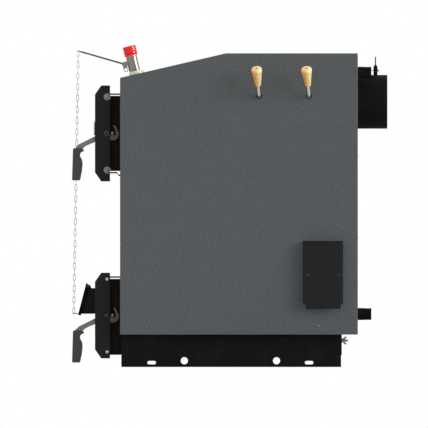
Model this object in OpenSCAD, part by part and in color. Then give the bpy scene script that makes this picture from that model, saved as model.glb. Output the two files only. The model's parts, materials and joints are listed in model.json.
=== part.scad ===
// Solid fuel boiler: a steel water-jacket body in an insulated casing, with a loading door and an
// ash door at the front, a thermostatic draft regulator with its chain and air flap, two side
// levers and a flue spigot. X is the width, the doors face -Y and Z is up. The origin lies on the
// floor, at the middle of the base's front edge.

/* [Steel body] */
// Width of the steel body and its base
body_w = 500; // [470:1:540]
// Depth of the steel body and its base
body_d = 776; // [720:1:840]
// Thickness of the water-filled walls
jacket_t = 45; // [38:1:52]
// Thickness of the water-filled roof
roof_t = 40; // [34:1:44]
// Thickness of the floor plate under the ash chamber
floor_t = 10; // [8:1:14]
// Thickness of the baffle between the firebox and the rear pass
baffle_t = 40; // [30:1:50]
// Distance of the baffle's middle and the front side lever behind the base's front edge
baffle_y = 487; // [470:1:510]
// Gap between the baffle's top edge and the front lever's flap
baffle_gap = 12.8; // [6:0.1:40]
// Height of the grate's top face above the floor
grate_z = 340; // [325:1:380]
// Thickness of the grate bars
grate_h = 22; // [16:1:26]
// Width of one grate bar
grate_bar_w = 18; // [14:1:24]
// Number of grate bars
grate_bars = 9; // [7:1:11]

/* [Base] */
// Height of the base rails under the body
base_h = 43; // [38:1:60]
// Thickness of the base plates
base_t = 5; // [4:0.5:8]
// Length of a forklift and anchor slot
slot_len = 30; // [24:1:36]
// Width of an anchor slot
slot_w = 12; // [10:1:14]
// Height of the slots above the floor
slot_z = 15.5; // [14:0.5:20]
// Distance of the front slots behind the front edge of the base
slot_front_inset = 107; // [90:1:120]
// Distance of the rear slots ahead of the rear edge of the base
slot_rear_inset = 113; // [90:1:125]
// Diameter of the round holes for a lifting bar
bar_hole_d = 25; // [20:1:28]
// Height of the lifting holes above the floor
bar_hole_z = 22.2; // [20:0.1:24]
// Distance of the front lifting holes behind the front edge of the base
bar_front_inset = 222.5; // [200:0.5:240]
// Distance of the rear lifting holes ahead of the rear edge of the base
bar_rear_inset = 228; // [200:0.5:240]

/* [Casing] */
// Thickness of the insulated side panels
side_panel_t = 30; // [24:1:40]
// Thickness of the casing's front panel
front_panel_t = 4.4; // [3:0.1:6]
// Thickness of the insulated rear panel
rear_panel_t = 59; // [50:1:66]
// Height of the casing's lower edge above the floor
casing_z0 = 114.4; // [100:0.1:125]
// Fall of the sloped lid, from the flat top to the casing's front edge
lid_rise = 86.5; // [60:0.5:92]
// Height of the casing's flat top
casing_top_z = 1107.5; // [1095:0.5:1140]
// Length of the sloped part of the lid, measured along the depth
slope_d = 373.7; // [330:0.1:420]
// Thickness of the insulation between the lid and the steel body
lid_t = 40; // [36:1:44]

/* [Doors] */
// Distance of the loading neck's top below the casing's front edge
upper_neck_drop = 63.6; // [56:0.1:75]
// Outer height of the loading neck
upper_neck_h = 265.6; // [240:0.1:270]
// Outer height of the ash neck
lower_neck_h = 268.2; // [250:0.1:275]
// Thickness of the neck walls
neck_t = 10; // [8:1:12]
// Length of the necks in front of the body
neck_l = 48; // [44:1:54]
// Depth of the door shells
door_d = 53.2; // [50:0.1:60]
// Gap between the door shells' rear edge and the body's front
door_gap = 39.7; // [36:0.1:44]
// Sheet thickness of the door shells
door_t = 3; // [2:0.5:4]
// Depth of the door's bent front edge
door_chamfer_y = 22; // [16:1:26]
// Height of the door's bent front edge
door_chamfer_z = 31.5; // [24:0.5:36]
// Overlap of the loading door above and below its neck
upper_overlap = 36.5; // [30:0.5:44]
// Overlap of the ash door above its neck
lower_overlap_top = 21.7; // [18:0.1:30]
// Overlap of the ash door below its neck
lower_overlap_bottom = 12.5; // [8:0.5:16]
// Free width beside the neck, for the latch
latch_bay = 22; // [20:1:26]
// Thickness of the sealing rope
rope_t = 7.7; // [6:0.1:9]

/* [Hinges] */
// Diameter of the hinge rods
hinge_rod_d = 10; // [8:1:12]
// Diameter of the hinge barrels
hinge_barrel_d = 18; // [16:1:20]
// Height of a hinge barrel
hinge_barrel_h = 34; // [24:1:40]
// Thickness of the hinge straps
strap_t = 5.2; // [4:0.1:6]
// Distance of the hinge rod behind the door's front face
hinge_depth = 41; // [38:1:44]
// Width of the hinge straps' feet
strap_foot_w = 25; // [20:1:30]
// Drop of the foot of the loading door's lower strap
strap_drop = 9; // [6:0.5:12]
// Inset of the upper straps from the loading door's edges
upper_strap_inset = 28; // [26:0.5:36]
// Inset of the upper strap from the ash door's top edge
lower_strap_inset_top = 12.6; // [12:0.1:18]
// Inset of the lower strap from the ash door's bottom edge
lower_strap_inset_bottom = 16; // [14:0.5:20]

/* [Latches] */
// Thickness of the latch bars
latch_t = 8; // [6:1:9]
// Extra diameter of the boss that carries the latch pivot
boss_wall = 6; // [4:1:8]
// Width of the latch arm
latch_arm_w = 16.5; // [14:0.5:18]
// Diameter of the latch pivot
latch_pivot_d = 12; // [10:1:14]
// Distance of the latch pivot behind the door's front face
latch_depth = 41.1; // [38:0.1:44]
// Height of the latch arm's slot above the pivot
slot_above = 50; // [46:1:60]
// Distance from the latch pivot to the catch pin
catch_reach = 20.5; // [20:0.1:22]
// Diameter of the catch pin
catch_d = 12; // [10:1:13]
// Height of the catch pin above the latch pivot
catch_rise = 1.3; // [0:0.1:2]
// Length of the catch pin that stands out past the latch bar
catch_proud = 4; // [2:0.5:5]
// Outer radius of the hook
hook_r = 22; // [20:0.5:23]
// Reach of the latch arm in front of its pivot
latch_reach = 112; // [100:1:120]
// Tilt of the latch arm below the horizontal
latch_tilt = 27; // [24:1:30]
// Thickness of the handgrips
grip_t = 22; // [18:1:26]
// Length of the handgrips
grip_l = 114; // [100:1:125]

/* [Air damper] */
// Distance of the damper and the regulator from the body's side on the hinges' side
damper_inset = 130; // [110:1:150]
// Outer width of the air duct
duct_w = 130; // [110:1:140]
// Wall thickness of the air duct
duct_t = 4; // [3:0.5:5]
// Outer height of the air duct
duct_h = 90.8; // [80:0.1:95]
// Height of the duct's underside above the lower edge of the ash door
duct_rise = 157.4; // [150:0.1:170]
// Distance of the flap's hinge pin in front of the door
duct_l = 22.8; // [20:0.1:30]
// Thickness of the flap's folded tray
flap_t = 10.6; // [9:0.1:12]
// Sheet thickness of the flap
flap_sheet = 2.5; // [2:0.1:3]
// Gap between the flap's cheeks and the duct
flap_side_gap = 1.5; // [1:0.1:3]
// Tilt of the closed flap from the vertical
flap_tilt = 14.5; // [12:0.5:18]
// Diameter of the flap's hinge pin
flap_pin_d = 6; // [5:0.5:7]

/* [Draft regulator] */
// Diameter of the regulator's body
regulator_d = 39; // [34:1:42]
// Height of the regulator's body above the lid
regulator_h = 66.5; // [60:0.5:75]
// Distance of the regulator's foot behind the lid's front edge, along the depth
regulator_inset = 54.5; // [50:0.5:70]
// Diameter of the knob
knob_d = 47; // [42:1:50]
// Height of the knob
knob_h = 35; // [30:1:40]
// Radius that rounds the knob's top
knob_round = 4; // [2:0.5:6]
// Length of the lever rod from its pivot to the eye
lever_l = 169.7; // [150:0.1:185]
// Rise of the lever rod above the horizontal
lever_rise = 16; // [10:0.5:20]
// Diameter of the lever rod
lever_d = 6; // [5:0.5:7]
// Height of the lever's pivot above the lid
lever_pivot_up = 43.3; // [38:0.1:48]
// Distance of the lever's pivot in front of the regulator's body
lever_pivot_reach = 10.5; // [9.5:0.5:14]
// Diameter of the lever's hub
lever_hub_d = 17; // [14:0.5:18]
// Diameter of the lever's pivot pin
lever_pin_d = 5; // [4:0.5:6]
// Thickness of the two cheeks that carry the lever
cheek_t = 3.5; // [2:0.5:4]
// Diameter of the empty eye at the foot of each cheek
cheek_eye_d = 11; // [8:0.5:12]
// Distance of that eye below the lever's pivot
cheek_eye_drop = 19.4; // [17:0.1:22]
// Radius of the eye at the end of the lever
eye_ring_r = 4; // [3.5:0.1:5]
// Wire diameter of the eyes at the chain's two ends
eye_ring_wire = 2.5; // [2:0.1:2.5]
// Wire diameter of the chain
chain_wire = 2; // [1.6:0.1:2.4]
// Outer width of a chain link
link_w = 9.5; // [8.5:0.1:11]
// Intended pitch of the chain links
link_pitch = 19.6; // [18:0.1:24]

/* [Thermometer] */
// Diameter of the thermometer's case
thermo_d = 53; // [46:1:60]
// Height of the thermometer's case above the lid
thermo_h = 10.7; // [9:0.1:14]
// Width of the thermometer's rim round its dial
thermo_rim = 3.5; // [2.5:0.5:5]
// Depth of the dial below that rim
thermo_dish = 3; // [2:0.5:4]
// Distance of the thermometer from the middle, across the width
thermo_x = 60; // [20:1:120]
// Distance of the thermometer behind the lid's front edge, along the depth
thermo_inset = 58; // [50:1:80]

/* [Side levers] */
// Diameter of the lever rods
side_rod_d = 14.5; // [12:0.5:16]
// Diameter of the holes in the side panel
side_hole_d = 21; // [20:0.5:24]
// Distance of the lever shafts below the flat top
side_lever_drop = 150.7; // [147:0.1:157]
// Distance of the rear side lever behind the base's front edge
rear_lever_y = 663; // [650:1:672]
// Tilt of the bent lever rods from the vertical
side_rod_tilt = 36; // [25:1:45]
// Lean of the levers towards the front
side_rod_lean = 5.7; // [0:0.1:10]
// Bare length of the bent rod below its handle
side_rod_l = 39.2; // [30:0.1:45]
// Bend radius of the lever rods
side_bend_r = 16; // [14:1:20]
// Reach of the lever rods outside the side panel, up to the bend
side_reach = 16; // [14:1:20]
// Reach of the front lever's flap to each side of its shaft
front_flap_r = 66; // [50:1:70]
// Reach of the rear lever's flap to each side of its shaft
rear_flap_r = 50; // [40:1:52]
// Thickness of the flaps
side_flap_t = 5; // [4:0.5:6]
// Length of the wooden handles
wood_l = 74; // [60:1:90]
// Largest diameter of the wooden handles
wood_d = 39; // [34:1:42]
// Diameter of the wooden handles where they meet the rod
wood_neck_d = 21; // [18:1:26]
// Radius that rounds the thick end of the wooden handles
wood_round = 8; // [5:0.5:10]
// Diameter of the screw hole in the end of the wooden handles
wood_bore_d = 7; // [5:0.5:9]

/* [Side cover] */
// Depth of the side cover's box
cover_t = 34; // [25:1:45]
// Width of the side cover
cover_w = 141; // [120:1:150]
// Height of the side cover's box
cover_h = 220; // [200:1:240]
// Height of the side cover's lower edge above the floor
cover_z = 224.7; // [215:0.1:235]
// Distance of the side cover's rear edge behind the base's front edge
cover_rear_y = 782.7; // [770:0.1:790]
// Height of the face plate's lip below the box
cover_lip = 19.5; // [15:0.5:25]

/* [Rear connections] */
// Outer diameter of the flue spigot
flue_d = 190; // [180:1:192]
// Wall thickness of the flue spigot
flue_t = 4; // [3:0.5:5]
// Distance of the flue's centre below the flat top
flue_drop = 171.3; // [169:0.1:178]
// Length of the flue spigot behind the rear panel
flue_l = 104.2; // [90:0.1:120]
// Distance of the damper spindle ahead of the spigot's end
spindle_inset = 41.8; // [35:0.1:50]
// Diameter of the damper spindle
spindle_d = 8; // [6:0.5:9]
// Diameter of the spindle's collar
collar_d = 14; // [12:0.5:16]
// Height of the spindle's collar above the flue
collar_h = 31.5; // [25:0.5:36]
// Outer diameter of the pipe stubs
stub_d = 42.4; // [40:0.1:44]
// Wall thickness of the pipe stubs
stub_t = 3.2; // [2.6:0.1:4]
// Wall thickness of the welded sleeves where pipes pass the rear panel
sleeve_t = 2; // [1.5:0.1:3]
// Length of the pipe stubs behind the rear panel
stub_l = 47.8; // [40:0.1:60]
// Distance of the pipe stubs from the middle, across the width
stub_x = 110; // [100:1:150]
// Distance of the supply stub below the flat top
supply_drop = 68.6; // [65:0.1:72]
// Height of the return stub above the floor
return_z = 187; // [180:1:200]
// Width of the rear cleaning hatch
hatch_w = 320; // [280:1:360]
// Height of the rear cleaning hatch
hatch_h = 103; // [90:1:110]
// Thickness of the rear cleaning hatch
hatch_t = 2.4; // [2:0.1:4]
// Diameter of the hatch studs
stud_d = 8; // [6:1:10]
// Length of the hatch studs behind the hatch
stud_l = 21.5; // [18:0.5:26]
// Distance of the hatch studs from the hatch's side edges
stud_inset = 22; // [18:1:30]

/* [Clearances] */
// Gap round a pin that turns in a hole
pin_gap = 0.3; // [0.2:0.05:0.5]
// Gap between pieces of two moving bodies that seat on each other
seat_gap = 0.3; // [0.2:0.05:0.5]
// Gap between a moving piece and the fixed pieces beside it
move_gap = 5; // [5:0.5:7]

/* [Hidden] */
$fn = 48;
EPS = 0.01;
half_w = body_w / 2;
damper_x = -half_w + damper_inset;
front_y = 0;
rear_y = body_d;
chamber_w = body_w - 2 * jacket_t;
neck_w = chamber_w + 2 * neck_t;

// Casing outline, in depth and height
casing_y0 = front_y - front_panel_t;
casing_y1 = rear_y + rear_panel_t;
slope_y1 = casing_y0 + slope_d;
casing_front_z = casing_top_z - lid_rise;
slope_a = atan(lid_rise / slope_d);
body_top_z = casing_top_z - lid_t;
function lid_z(y) = y < slope_y1 ? casing_top_z - (slope_y1 - y) * lid_rise / slope_d : casing_top_z;

// Heights that hang from the flat top
side_lever_z = casing_top_z - side_lever_drop;
baffle_top_z = side_lever_z - front_flap_r - baffle_gap;
flue_z = casing_top_z - flue_drop;
supply_z = casing_top_z - supply_drop;

// Doors
upper_neck_z = casing_front_z - upper_neck_drop - upper_neck_h;
door_y1 = front_y - door_gap;
door_y0 = door_y1 - door_d;
neck_y0 = front_y - neck_l;
door_w = neck_w + 2 * (latch_bay + door_t);
upper_door_z0 = upper_neck_z - upper_overlap;
upper_door_z1 = upper_neck_z + upper_neck_h + upper_overlap;
lower_door_z0 = base_h - lower_overlap_bottom;
lower_door_z1 = base_h + lower_neck_h + lower_overlap_top;
upper_latch_z = (upper_door_z0 + upper_door_z1) / 2;
lower_latch_z = (lower_door_z0 + lower_door_z1) / 2;
latch_y = door_y0 + latch_depth;
latch_x = neck_w / 2 + move_gap;
hinge_x = -door_w / 2 - hinge_barrel_d / 2 - 1;
hinge_y = door_y0 + hinge_depth;
liner_w = neck_w - 2;

// Side levers: where the bend starts, how far each straight rod runs into the thinner bend, and how
// far the shaft stands out past the flap
side_bend_x = half_w + side_panel_t + side_reach;
bend_lap = 0.5;
bend_draw = 0.3;
shaft_proud = 2;

// Air damper and flap
duct_z0 = lower_door_z0 + duct_rise;
duct_z1 = duct_z0 + duct_h;
flap_pin_y = door_y0 - duct_l;
flap_pin_rise = flap_pin_d / 2 + 4;
flap_pin_z = duct_z1 + flap_pin_rise;
flap_bottom = (flap_pin_z - duct_z0) / cos(flap_tilt) + 6.4;
mouth_in = flap_t - flap_sheet - 2;
function mouth_y(z) = flap_pin_y + ((z - flap_pin_z) * sin(flap_tilt) - mouth_in) / cos(flap_tilt);

// Regulator, its lever and its chain
regulator_y = casing_y0 + regulator_inset;
function by_regulator(up, out) = [regulator_y - sin(slope_a) * up - cos(slope_a) * out,
                                  lid_z(regulator_y) + cos(slope_a) * up - sin(slope_a) * out];
lever_pivot_out = regulator_d / 2 + lever_pivot_reach;
lever_y = by_regulator(lever_pivot_up, lever_pivot_out)[0];
lever_z = by_regulator(lever_pivot_up, lever_pivot_out)[1];
eye_y = lever_y - lever_l * cos(lever_rise);
eye_z = lever_z + lever_l * sin(lever_rise);

hub_half_w = 4.5;
foot_ring_h = 8;

// Eye on the flap, where the chain ends
flap_ring_r = 4.5;
flap_ring_out = 11.5;
ring_local_y = -flap_t - flap_ring_out;
ring_local_z = -flap_bottom + 2.5;
hook_y = flap_pin_y + ring_local_y * cos(flap_tilt) + ring_local_z * sin(flap_tilt) - flap_ring_r;
hook_z = flap_pin_z - ring_local_y * sin(flap_tilt) + ring_local_z * cos(flap_tilt);

// Chain between the lever's eye and the flap's eye
link_l = link_pitch + 2 * chain_wire + seat_gap;
chain_len = norm([hook_y - eye_y, hook_z - eye_z]);
end_reach = (link_l - chain_wire) / 2 - chain_wire / 2 - eye_ring_wire / 2 - seat_gap;
chain_links = 2 * floor((chain_len - 2 * end_reach) / link_pitch / 2) + 1;
chain_pitch = (chain_len - 2 * end_reach) / (chain_links - 1);
chain_lean = atan((eye_y - hook_y) / (eye_z - hook_z));

// ---------- Helpers ----------

// A box from its lower corner to its upper corner
module box(lo, hi) {
    translate(lo) cube(hi - lo);
}

// A profile drawn in depth and height, run across the width from x0 to x1
module across(x0, x1) {
    translate([x0, 0, 0]) rotate([90, 0, 90]) linear_extrude(x1 - x0) children();
}

// A cylinder along X from x0 to x1
module rod_x(x0, x1, y, z, d) {
    translate([x0, y, z]) rotate([0, 90, 0]) cylinder(h = x1 - x0, d = d);
}

// A cylinder along Y from y0 to y1
module rod_y(y0, y1, x, z, d) {
    translate([x, y0, z]) rotate([-90, 0, 0]) cylinder(h = y1 - y0, d = d);
}

// A cylinder along Z from z0 to z1
module rod_z(z0, z1, x, y, d) {
    translate([x, y, z0]) cylinder(h = z1 - z0, d = d);
}

// Places children on the sloped lid, their Z axis square to it
module on_slope(x, y) {
    translate([x, y, lid_z(y)]) rotate([slope_a, 0, 0]) children();
}

// Points of an arc about c with radius r, from angle a0 to a1 in n steps
function arc(c, r, a0, a1, n = 8) =
    [for (i = [0:n]) let (a = a0 + (a1 - a0) * i / n) [c[0] + r * cos(a), c[1] + r * sin(a)]];

// ---------- Base ----------

module rail_holes() {
    for (y = [front_y + slot_front_inset, rear_y - slot_rear_inset])
        for (s = [-1, 1])
            rod_x(-half_w - 1, half_w + 1, y + s * (slot_len - slot_w) / 2, slot_z, slot_w);
    for (y = [front_y + slot_front_inset, rear_y - slot_rear_inset])
        box([-half_w - 1, y - (slot_len - slot_w) / 2, slot_z - slot_w / 2],
            [half_w + 1, y + (slot_len - slot_w) / 2, slot_z + slot_w / 2]);
    for (y = [front_y + bar_front_inset, rear_y - bar_rear_inset])
        rod_x(-half_w - 1, half_w + 1, y, bar_hole_z, bar_hole_d);
}

module base_rails() {
    color([0.10, 0.10, 0.10]) difference() {
        for (x = [-half_w, half_w - base_t])
            box([x, front_y, 0], [x + base_t, rear_y, base_h]);
        rail_holes();
    }
}

module base_crossbars() {
    color([0.10, 0.10, 0.10])
        for (y = [front_y, rear_y - base_t])
            box([-half_w + base_t, y, 0], [half_w - base_t, y + base_t, base_h]);
}

// ---------- Water jacket ----------

// Side outline of the steel body, below the lid's insulation
module body_outline() {
    polygon([[front_y, base_h], [rear_y, base_h], [rear_y, body_top_z],
             [slope_y1, body_top_z], [front_y, lid_z(front_y) - lid_t]]);
}

module jacket_sides() {
    color([0.08, 0.08, 0.08]) difference() {
        union() {
            across(-half_w, -chamber_w / 2) body_outline();
            across(chamber_w / 2, half_w) body_outline();
        }
        for (y = [baffle_y, rear_lever_y])
            rod_x(chamber_w / 2 - 1, half_w + 1, y, side_lever_z, side_rod_d + 2 * pin_gap);
    }
}

module jacket_back() {
    color([0.08, 0.08, 0.08]) difference() {
        box([-chamber_w / 2, rear_y - jacket_t, base_h + floor_t], [chamber_w / 2, rear_y, body_top_z]);
        rod_y(rear_y - jacket_t - 1, rear_y + 1, 0, flue_z, flue_d - 2 * flue_t);
    }
}

module jacket_front() {
    lintel_z = upper_neck_z + upper_neck_h - neck_t;
    color([0.08, 0.08, 0.08]) {
        box([-chamber_w / 2, front_y, base_h + lower_neck_h - neck_t],
            [chamber_w / 2, front_y + jacket_t, upper_neck_z + neck_t]);
        across(-chamber_w / 2, chamber_w / 2)
            polygon([[front_y, lintel_z], [front_y + jacket_t, lintel_z],
                     [front_y + jacket_t, lid_z(front_y + jacket_t) - lid_t],
                     [front_y, lid_z(front_y) - lid_t]]);
    }
}

module jacket_top() {
    y0 = front_y + jacket_t;
    y1 = rear_y - jacket_t;
    color([0.08, 0.08, 0.08]) across(-chamber_w / 2, chamber_w / 2) translate([0, -seat_gap])
        polygon([[y0, lid_z(y0) - lid_t - roof_t], [slope_y1, body_top_z - roof_t], [y1, body_top_z - roof_t],
                 [y1, body_top_z], [slope_y1, body_top_z], [y0, lid_z(y0) - lid_t]]);
}

module jacket_floor() {
    color([0.08, 0.08, 0.08])
        box([-chamber_w / 2, front_y, base_h], [chamber_w / 2, rear_y, base_h + floor_t]);
}

module firebox_baffle() {
    color([0.10, 0.09, 0.09])
        box([-chamber_w / 2, baffle_y - baffle_t / 2, grate_z - grate_h],
            [chamber_w / 2, baffle_y + baffle_t / 2, baffle_top_z]);
}

module grate() {
    y0 = front_y + jacket_t;
    y1 = baffle_y - baffle_t / 2;
    pitch = (chamber_w - grate_bar_w) / (grate_bars - 1);
    color([0.16, 0.14, 0.13]) {
        for (i = [0:grate_bars - 1])
            box([-chamber_w / 2 + i * pitch, y0, grate_z - grate_h],
                [-chamber_w / 2 + i * pitch + grate_bar_w, y1, grate_z]);
        for (y = [y0, y1 - grate_bar_w])
            box([-chamber_w / 2, y, grate_z - grate_h], [chamber_w / 2, y + grate_bar_w, grate_z]);
    }
}

// ---------- Necks and hinges ----------

module neck(z0, h, latch_z) {
    color([0.06, 0.06, 0.05]) {
        difference() {
            box([-neck_w / 2, neck_y0, z0], [neck_w / 2, front_y, z0 + h]);
            box([-chamber_w / 2, neck_y0 - 1, z0 + neck_t], [chamber_w / 2, front_y + 1, z0 + h - neck_t]);
        }
        rod_x(neck_w / 2, latch_x + latch_t + catch_proud, latch_y + catch_reach, latch_z + catch_rise,
              catch_d);
    }
}

module upper_neck() {
    neck(upper_neck_z, upper_neck_h, upper_latch_z);
}

module lower_neck() {
    neck(base_h, lower_neck_h, lower_latch_z);
}

// One strap, flat or with its rear end set down by drop
module strap(z0, drop = 0) {
    r = hinge_barrel_d / 2;
    foot_y = front_y - front_panel_t - strap_t;
    bend_y = foot_y - strap_t;
    inner_x = -half_w + strap_foot_w;
    rod_z(z0, z0 + strap_t, hinge_x, hinge_y, hinge_barrel_d);
    box([hinge_x - r, hinge_y, z0], [hinge_x + r, bend_y, z0 + strap_t]);
    box([hinge_x - r, door_y1 + 2 * move_gap, z0], [inner_x, bend_y, z0 + strap_t]);
    across(-half_w + 1, inner_x)
        polygon([[bend_y, z0], [foot_y, z0 - drop], [front_y, z0 - drop],
                 [front_y, z0 - drop + strap_t], [foot_y, z0 - drop + strap_t], [bend_y, z0 + strap_t]]);
}

module hinge_straps() {
    upper_lo = upper_door_z0 + upper_strap_inset;
    upper_hi = upper_door_z1 - upper_strap_inset - strap_t;
    lower_lo = lower_door_z0 + lower_strap_inset_bottom;
    lower_hi = lower_door_z1 - lower_strap_inset_top - strap_t;
    color([0.30, 0.30, 0.30]) {
        strap(upper_lo, strap_drop);
        strap(upper_hi);
        rod_z(upper_lo, upper_hi + strap_t, hinge_x, hinge_y, hinge_rod_d);
        strap(lower_lo);
        strap(lower_hi);
        rod_z(lower_lo, lower_hi + strap_t, hinge_x, hinge_y, hinge_rod_d);
    }
}

// ---------- Casing ----------

module casing_outline() {
    polygon([[casing_y0, casing_z0], [casing_y1, casing_z0], [casing_y1, casing_top_z],
             [slope_y1, casing_top_z], [casing_y0, casing_front_z]]);
}

module casing_right() {
    color([0.30, 0.32, 0.33]) difference() {
        across(half_w, half_w + side_panel_t) casing_outline();
        for (y = [baffle_y, rear_lever_y])
            rod_x(half_w - 1, half_w + side_panel_t + 1, y, side_lever_z, side_hole_d);
    }
}

module casing_left() {
    color([0.30, 0.32, 0.33]) across(-half_w - side_panel_t, -half_w) casing_outline();
}

module casing_top() {
    color([0.30, 0.32, 0.33]) difference() {
        across(-half_w, half_w)
            polygon([[front_y, lid_z(front_y) - lid_t], [slope_y1, body_top_z], [casing_y1, body_top_z],
                     [casing_y1, casing_top_z], [slope_y1, casing_top_z], [front_y, lid_z(front_y)]]);
    }
}

module casing_back() {
    pocket_w = hatch_w + 4 * move_gap;
    pocket_z = base_h + hatch_h + move_gap;
    color([0.30, 0.32, 0.33]) difference() {
        box([-half_w, rear_y, casing_z0], [half_w, casing_y1, body_top_z]);
        rod_y(rear_y - 1, casing_y1 + 1, 0, flue_z, flue_d + 2 * (sleeve_t + seat_gap));
        for (z = [supply_z, return_z])
            rod_y(rear_y - 1, casing_y1 + 1, stub_x, z, stub_d + 2 * (sleeve_t + seat_gap));
        box([-pocket_w / 2, rear_y - 1, casing_z0 - 1],
            [pocket_w / 2, rear_y + 40, pocket_z]);
    }
}

module casing_front() {
    color([0.30, 0.32, 0.33]) difference() {
        across(-half_w, half_w)
            polygon([[casing_y0, casing_z0], [front_y, casing_z0], [front_y, lid_z(front_y)],
                     [casing_y0, casing_front_z]]);
        box([-neck_w / 2, casing_y0 - 1, casing_z0 - 1], [neck_w / 2, front_y + 1, base_h + lower_neck_h]);
        box([-neck_w / 2, casing_y0 - 1, upper_neck_z],
            [neck_w / 2, front_y + 1, upper_neck_z + upper_neck_h]);
        for (z = [upper_door_z0 + upper_strap_inset - strap_drop, upper_door_z1 - upper_strap_inset - strap_t,
                  lower_door_z1 - lower_strap_inset_top - strap_t])
            box([-half_w, casing_y0 - 1, z - 1], [-half_w + strap_foot_w + 1, front_y + 1, z + strap_t + 1]);
    }
}

// ---------- Side cover ----------

module side_cover() {
    x0 = half_w + side_panel_t;
    y1 = cover_rear_y;
    y0 = y1 - cover_w;
    z1 = cover_z + cover_h;
    lip_r = 7;
    plate_t = 2;
    color([0.13, 0.13, 0.14]) {
        hull() {
            box([x0, y0, cover_z], [x0 + 1, y1, z1]);
            box([x0, y0 + 3.6, cover_z + 4], [x0 + cover_t - plate_t, y1 - 7.8, z1 - 6.7]);
        }
        across(x0 + cover_t - plate_t, x0 + cover_t)
            polygon(concat([[y1 - 7.8, z1 - 6.7], [y0 + 3.6, z1 - 6.7], [y0 + 3.6, cover_z + 4],
                            [y0 + 9.9, cover_z + 4]],
                           arc([y0 + 9.9 + lip_r, cover_z - cover_lip + lip_r], lip_r, 180, 270, 6),
                           arc([y1 - 7.8 - lip_r, cover_z - cover_lip + lip_r], lip_r, 270, 360, 6)));
    }
}

// ---------- Rear connections ----------

module flue_spigot() {
    y1 = casing_y1 + flue_l;
    spindle_y = y1 - spindle_inset;
    color([0.11, 0.11, 0.11]) difference() {
        union() {
            rod_y(rear_y, casing_y1, 0, flue_z, flue_d + 2 * sleeve_t);
            rod_y(rear_y, y1, 0, flue_z, flue_d);
            rod_z(flue_z, flue_z + flue_d / 2 + collar_h, 0, spindle_y, collar_d);
        }
        rod_y(rear_y - 1, y1 + 1, 0, flue_z, flue_d - 2 * flue_t);
        rod_z(flue_z, flue_z + flue_d / 2 + collar_h + 1, 0, spindle_y, spindle_d + 2 * pin_gap);
    }
}

module pipe_stubs() {
    y1 = casing_y1 + stub_l;
    color([0.11, 0.11, 0.11])
        for (z = [supply_z, return_z])
            difference() {
                union() {
                    rod_y(rear_y, casing_y1, stub_x, z, stub_d + 2 * sleeve_t);
                    rod_y(rear_y, y1, stub_x, z, stub_d);
                }
                rod_y(rear_y + 5, y1 + 1, stub_x, z, stub_d - 2 * stub_t);
            }
}

module rear_hatch() {
    color([0.12, 0.12, 0.12])
        box([-hatch_w / 2, rear_y, base_h - 1], [hatch_w / 2, rear_y + hatch_t, base_h - 1 + hatch_h]);
}

// A wing nut on its stud: hub, stud and two wings that lean away from the hatch
module wing_nut(x) {
    k = stud_d / 8;
    z = base_h - 1 + hatch_h / 2;
    y0 = rear_y + hatch_t;
    rod_y(y0, y0 + stud_l, x, z, stud_d);
    rod_y(y0, y0 + 10.5 * k, x, z, 14 * k);
    for (s = [-1, 1])
        across(x - 1.5 * k, x + 1.5 * k) translate([y0, z]) scale([k, s * k])
            polygon([[2, 4], [9.5, 4], [16, 9.5], [17.5, 12], [16, 14.3], [12.5, 14.3], [7, 11]]);
}

module hatch_wing_nuts() {
    color([0.75, 0.75, 0.75])
        for (x = [-hatch_w / 2 + stud_inset, hatch_w / 2 - stud_inset])
            wing_nut(x);
}

module flue_damper() {
    y1 = casing_y1 + flue_l;
    spindle_y = y1 - spindle_inset;
    top_z = flue_z + flue_d / 2 + collar_h;
    blade_r = flue_d / 2 - flue_t - move_gap;
    color([0.35, 0.35, 0.35]) {
        rod_z(flue_z - flue_d / 2 + flue_t + 1, top_z + 4, 0, spindle_y, spindle_d);
        rod_y(spindle_y - 1.5, spindle_y + 1.5, 0, flue_z, 2 * blade_r);
        across(-14, 14) polygon([[spindle_y - 2, top_z + 0.5], [spindle_y + 2, top_z + 0.5],
                                 [spindle_y + 2, top_z + 32], [spindle_y - 2, top_z + 32]]);
    }
}

// ---------- Doors ----------

// Outline of a door shell, drawn in depth and height, moved inwards by t
module door_outline(z0, z1, t, back) {
    edge = sqrt(pow(door_chamfer_y, 2) + pow(door_chamfer_z, 2));
    ky = t * (edge - door_chamfer_y) / door_chamfer_z;
    kz = t * (edge - door_chamfer_z) / door_chamfer_y;
    y_bend = door_y0 + door_chamfer_y + ky;
    polygon([[back, z0 + t], [y_bend, z0 + t], [door_y0 + t, z0 + door_chamfer_z + kz],
             [door_y0 + t, z1 - door_chamfer_z - kz], [y_bend, z1 - t], [back, z1 - t]]);
}

// Slot in the front sheet that the latch arm swings in
module latch_slot(latch_z) {
    box([latch_x - move_gap, door_y0 - 1, latch_z - latch_depth],
        [door_w / 2 - door_t, door_y0 + door_t + 1, latch_z + slot_above]);
}

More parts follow.
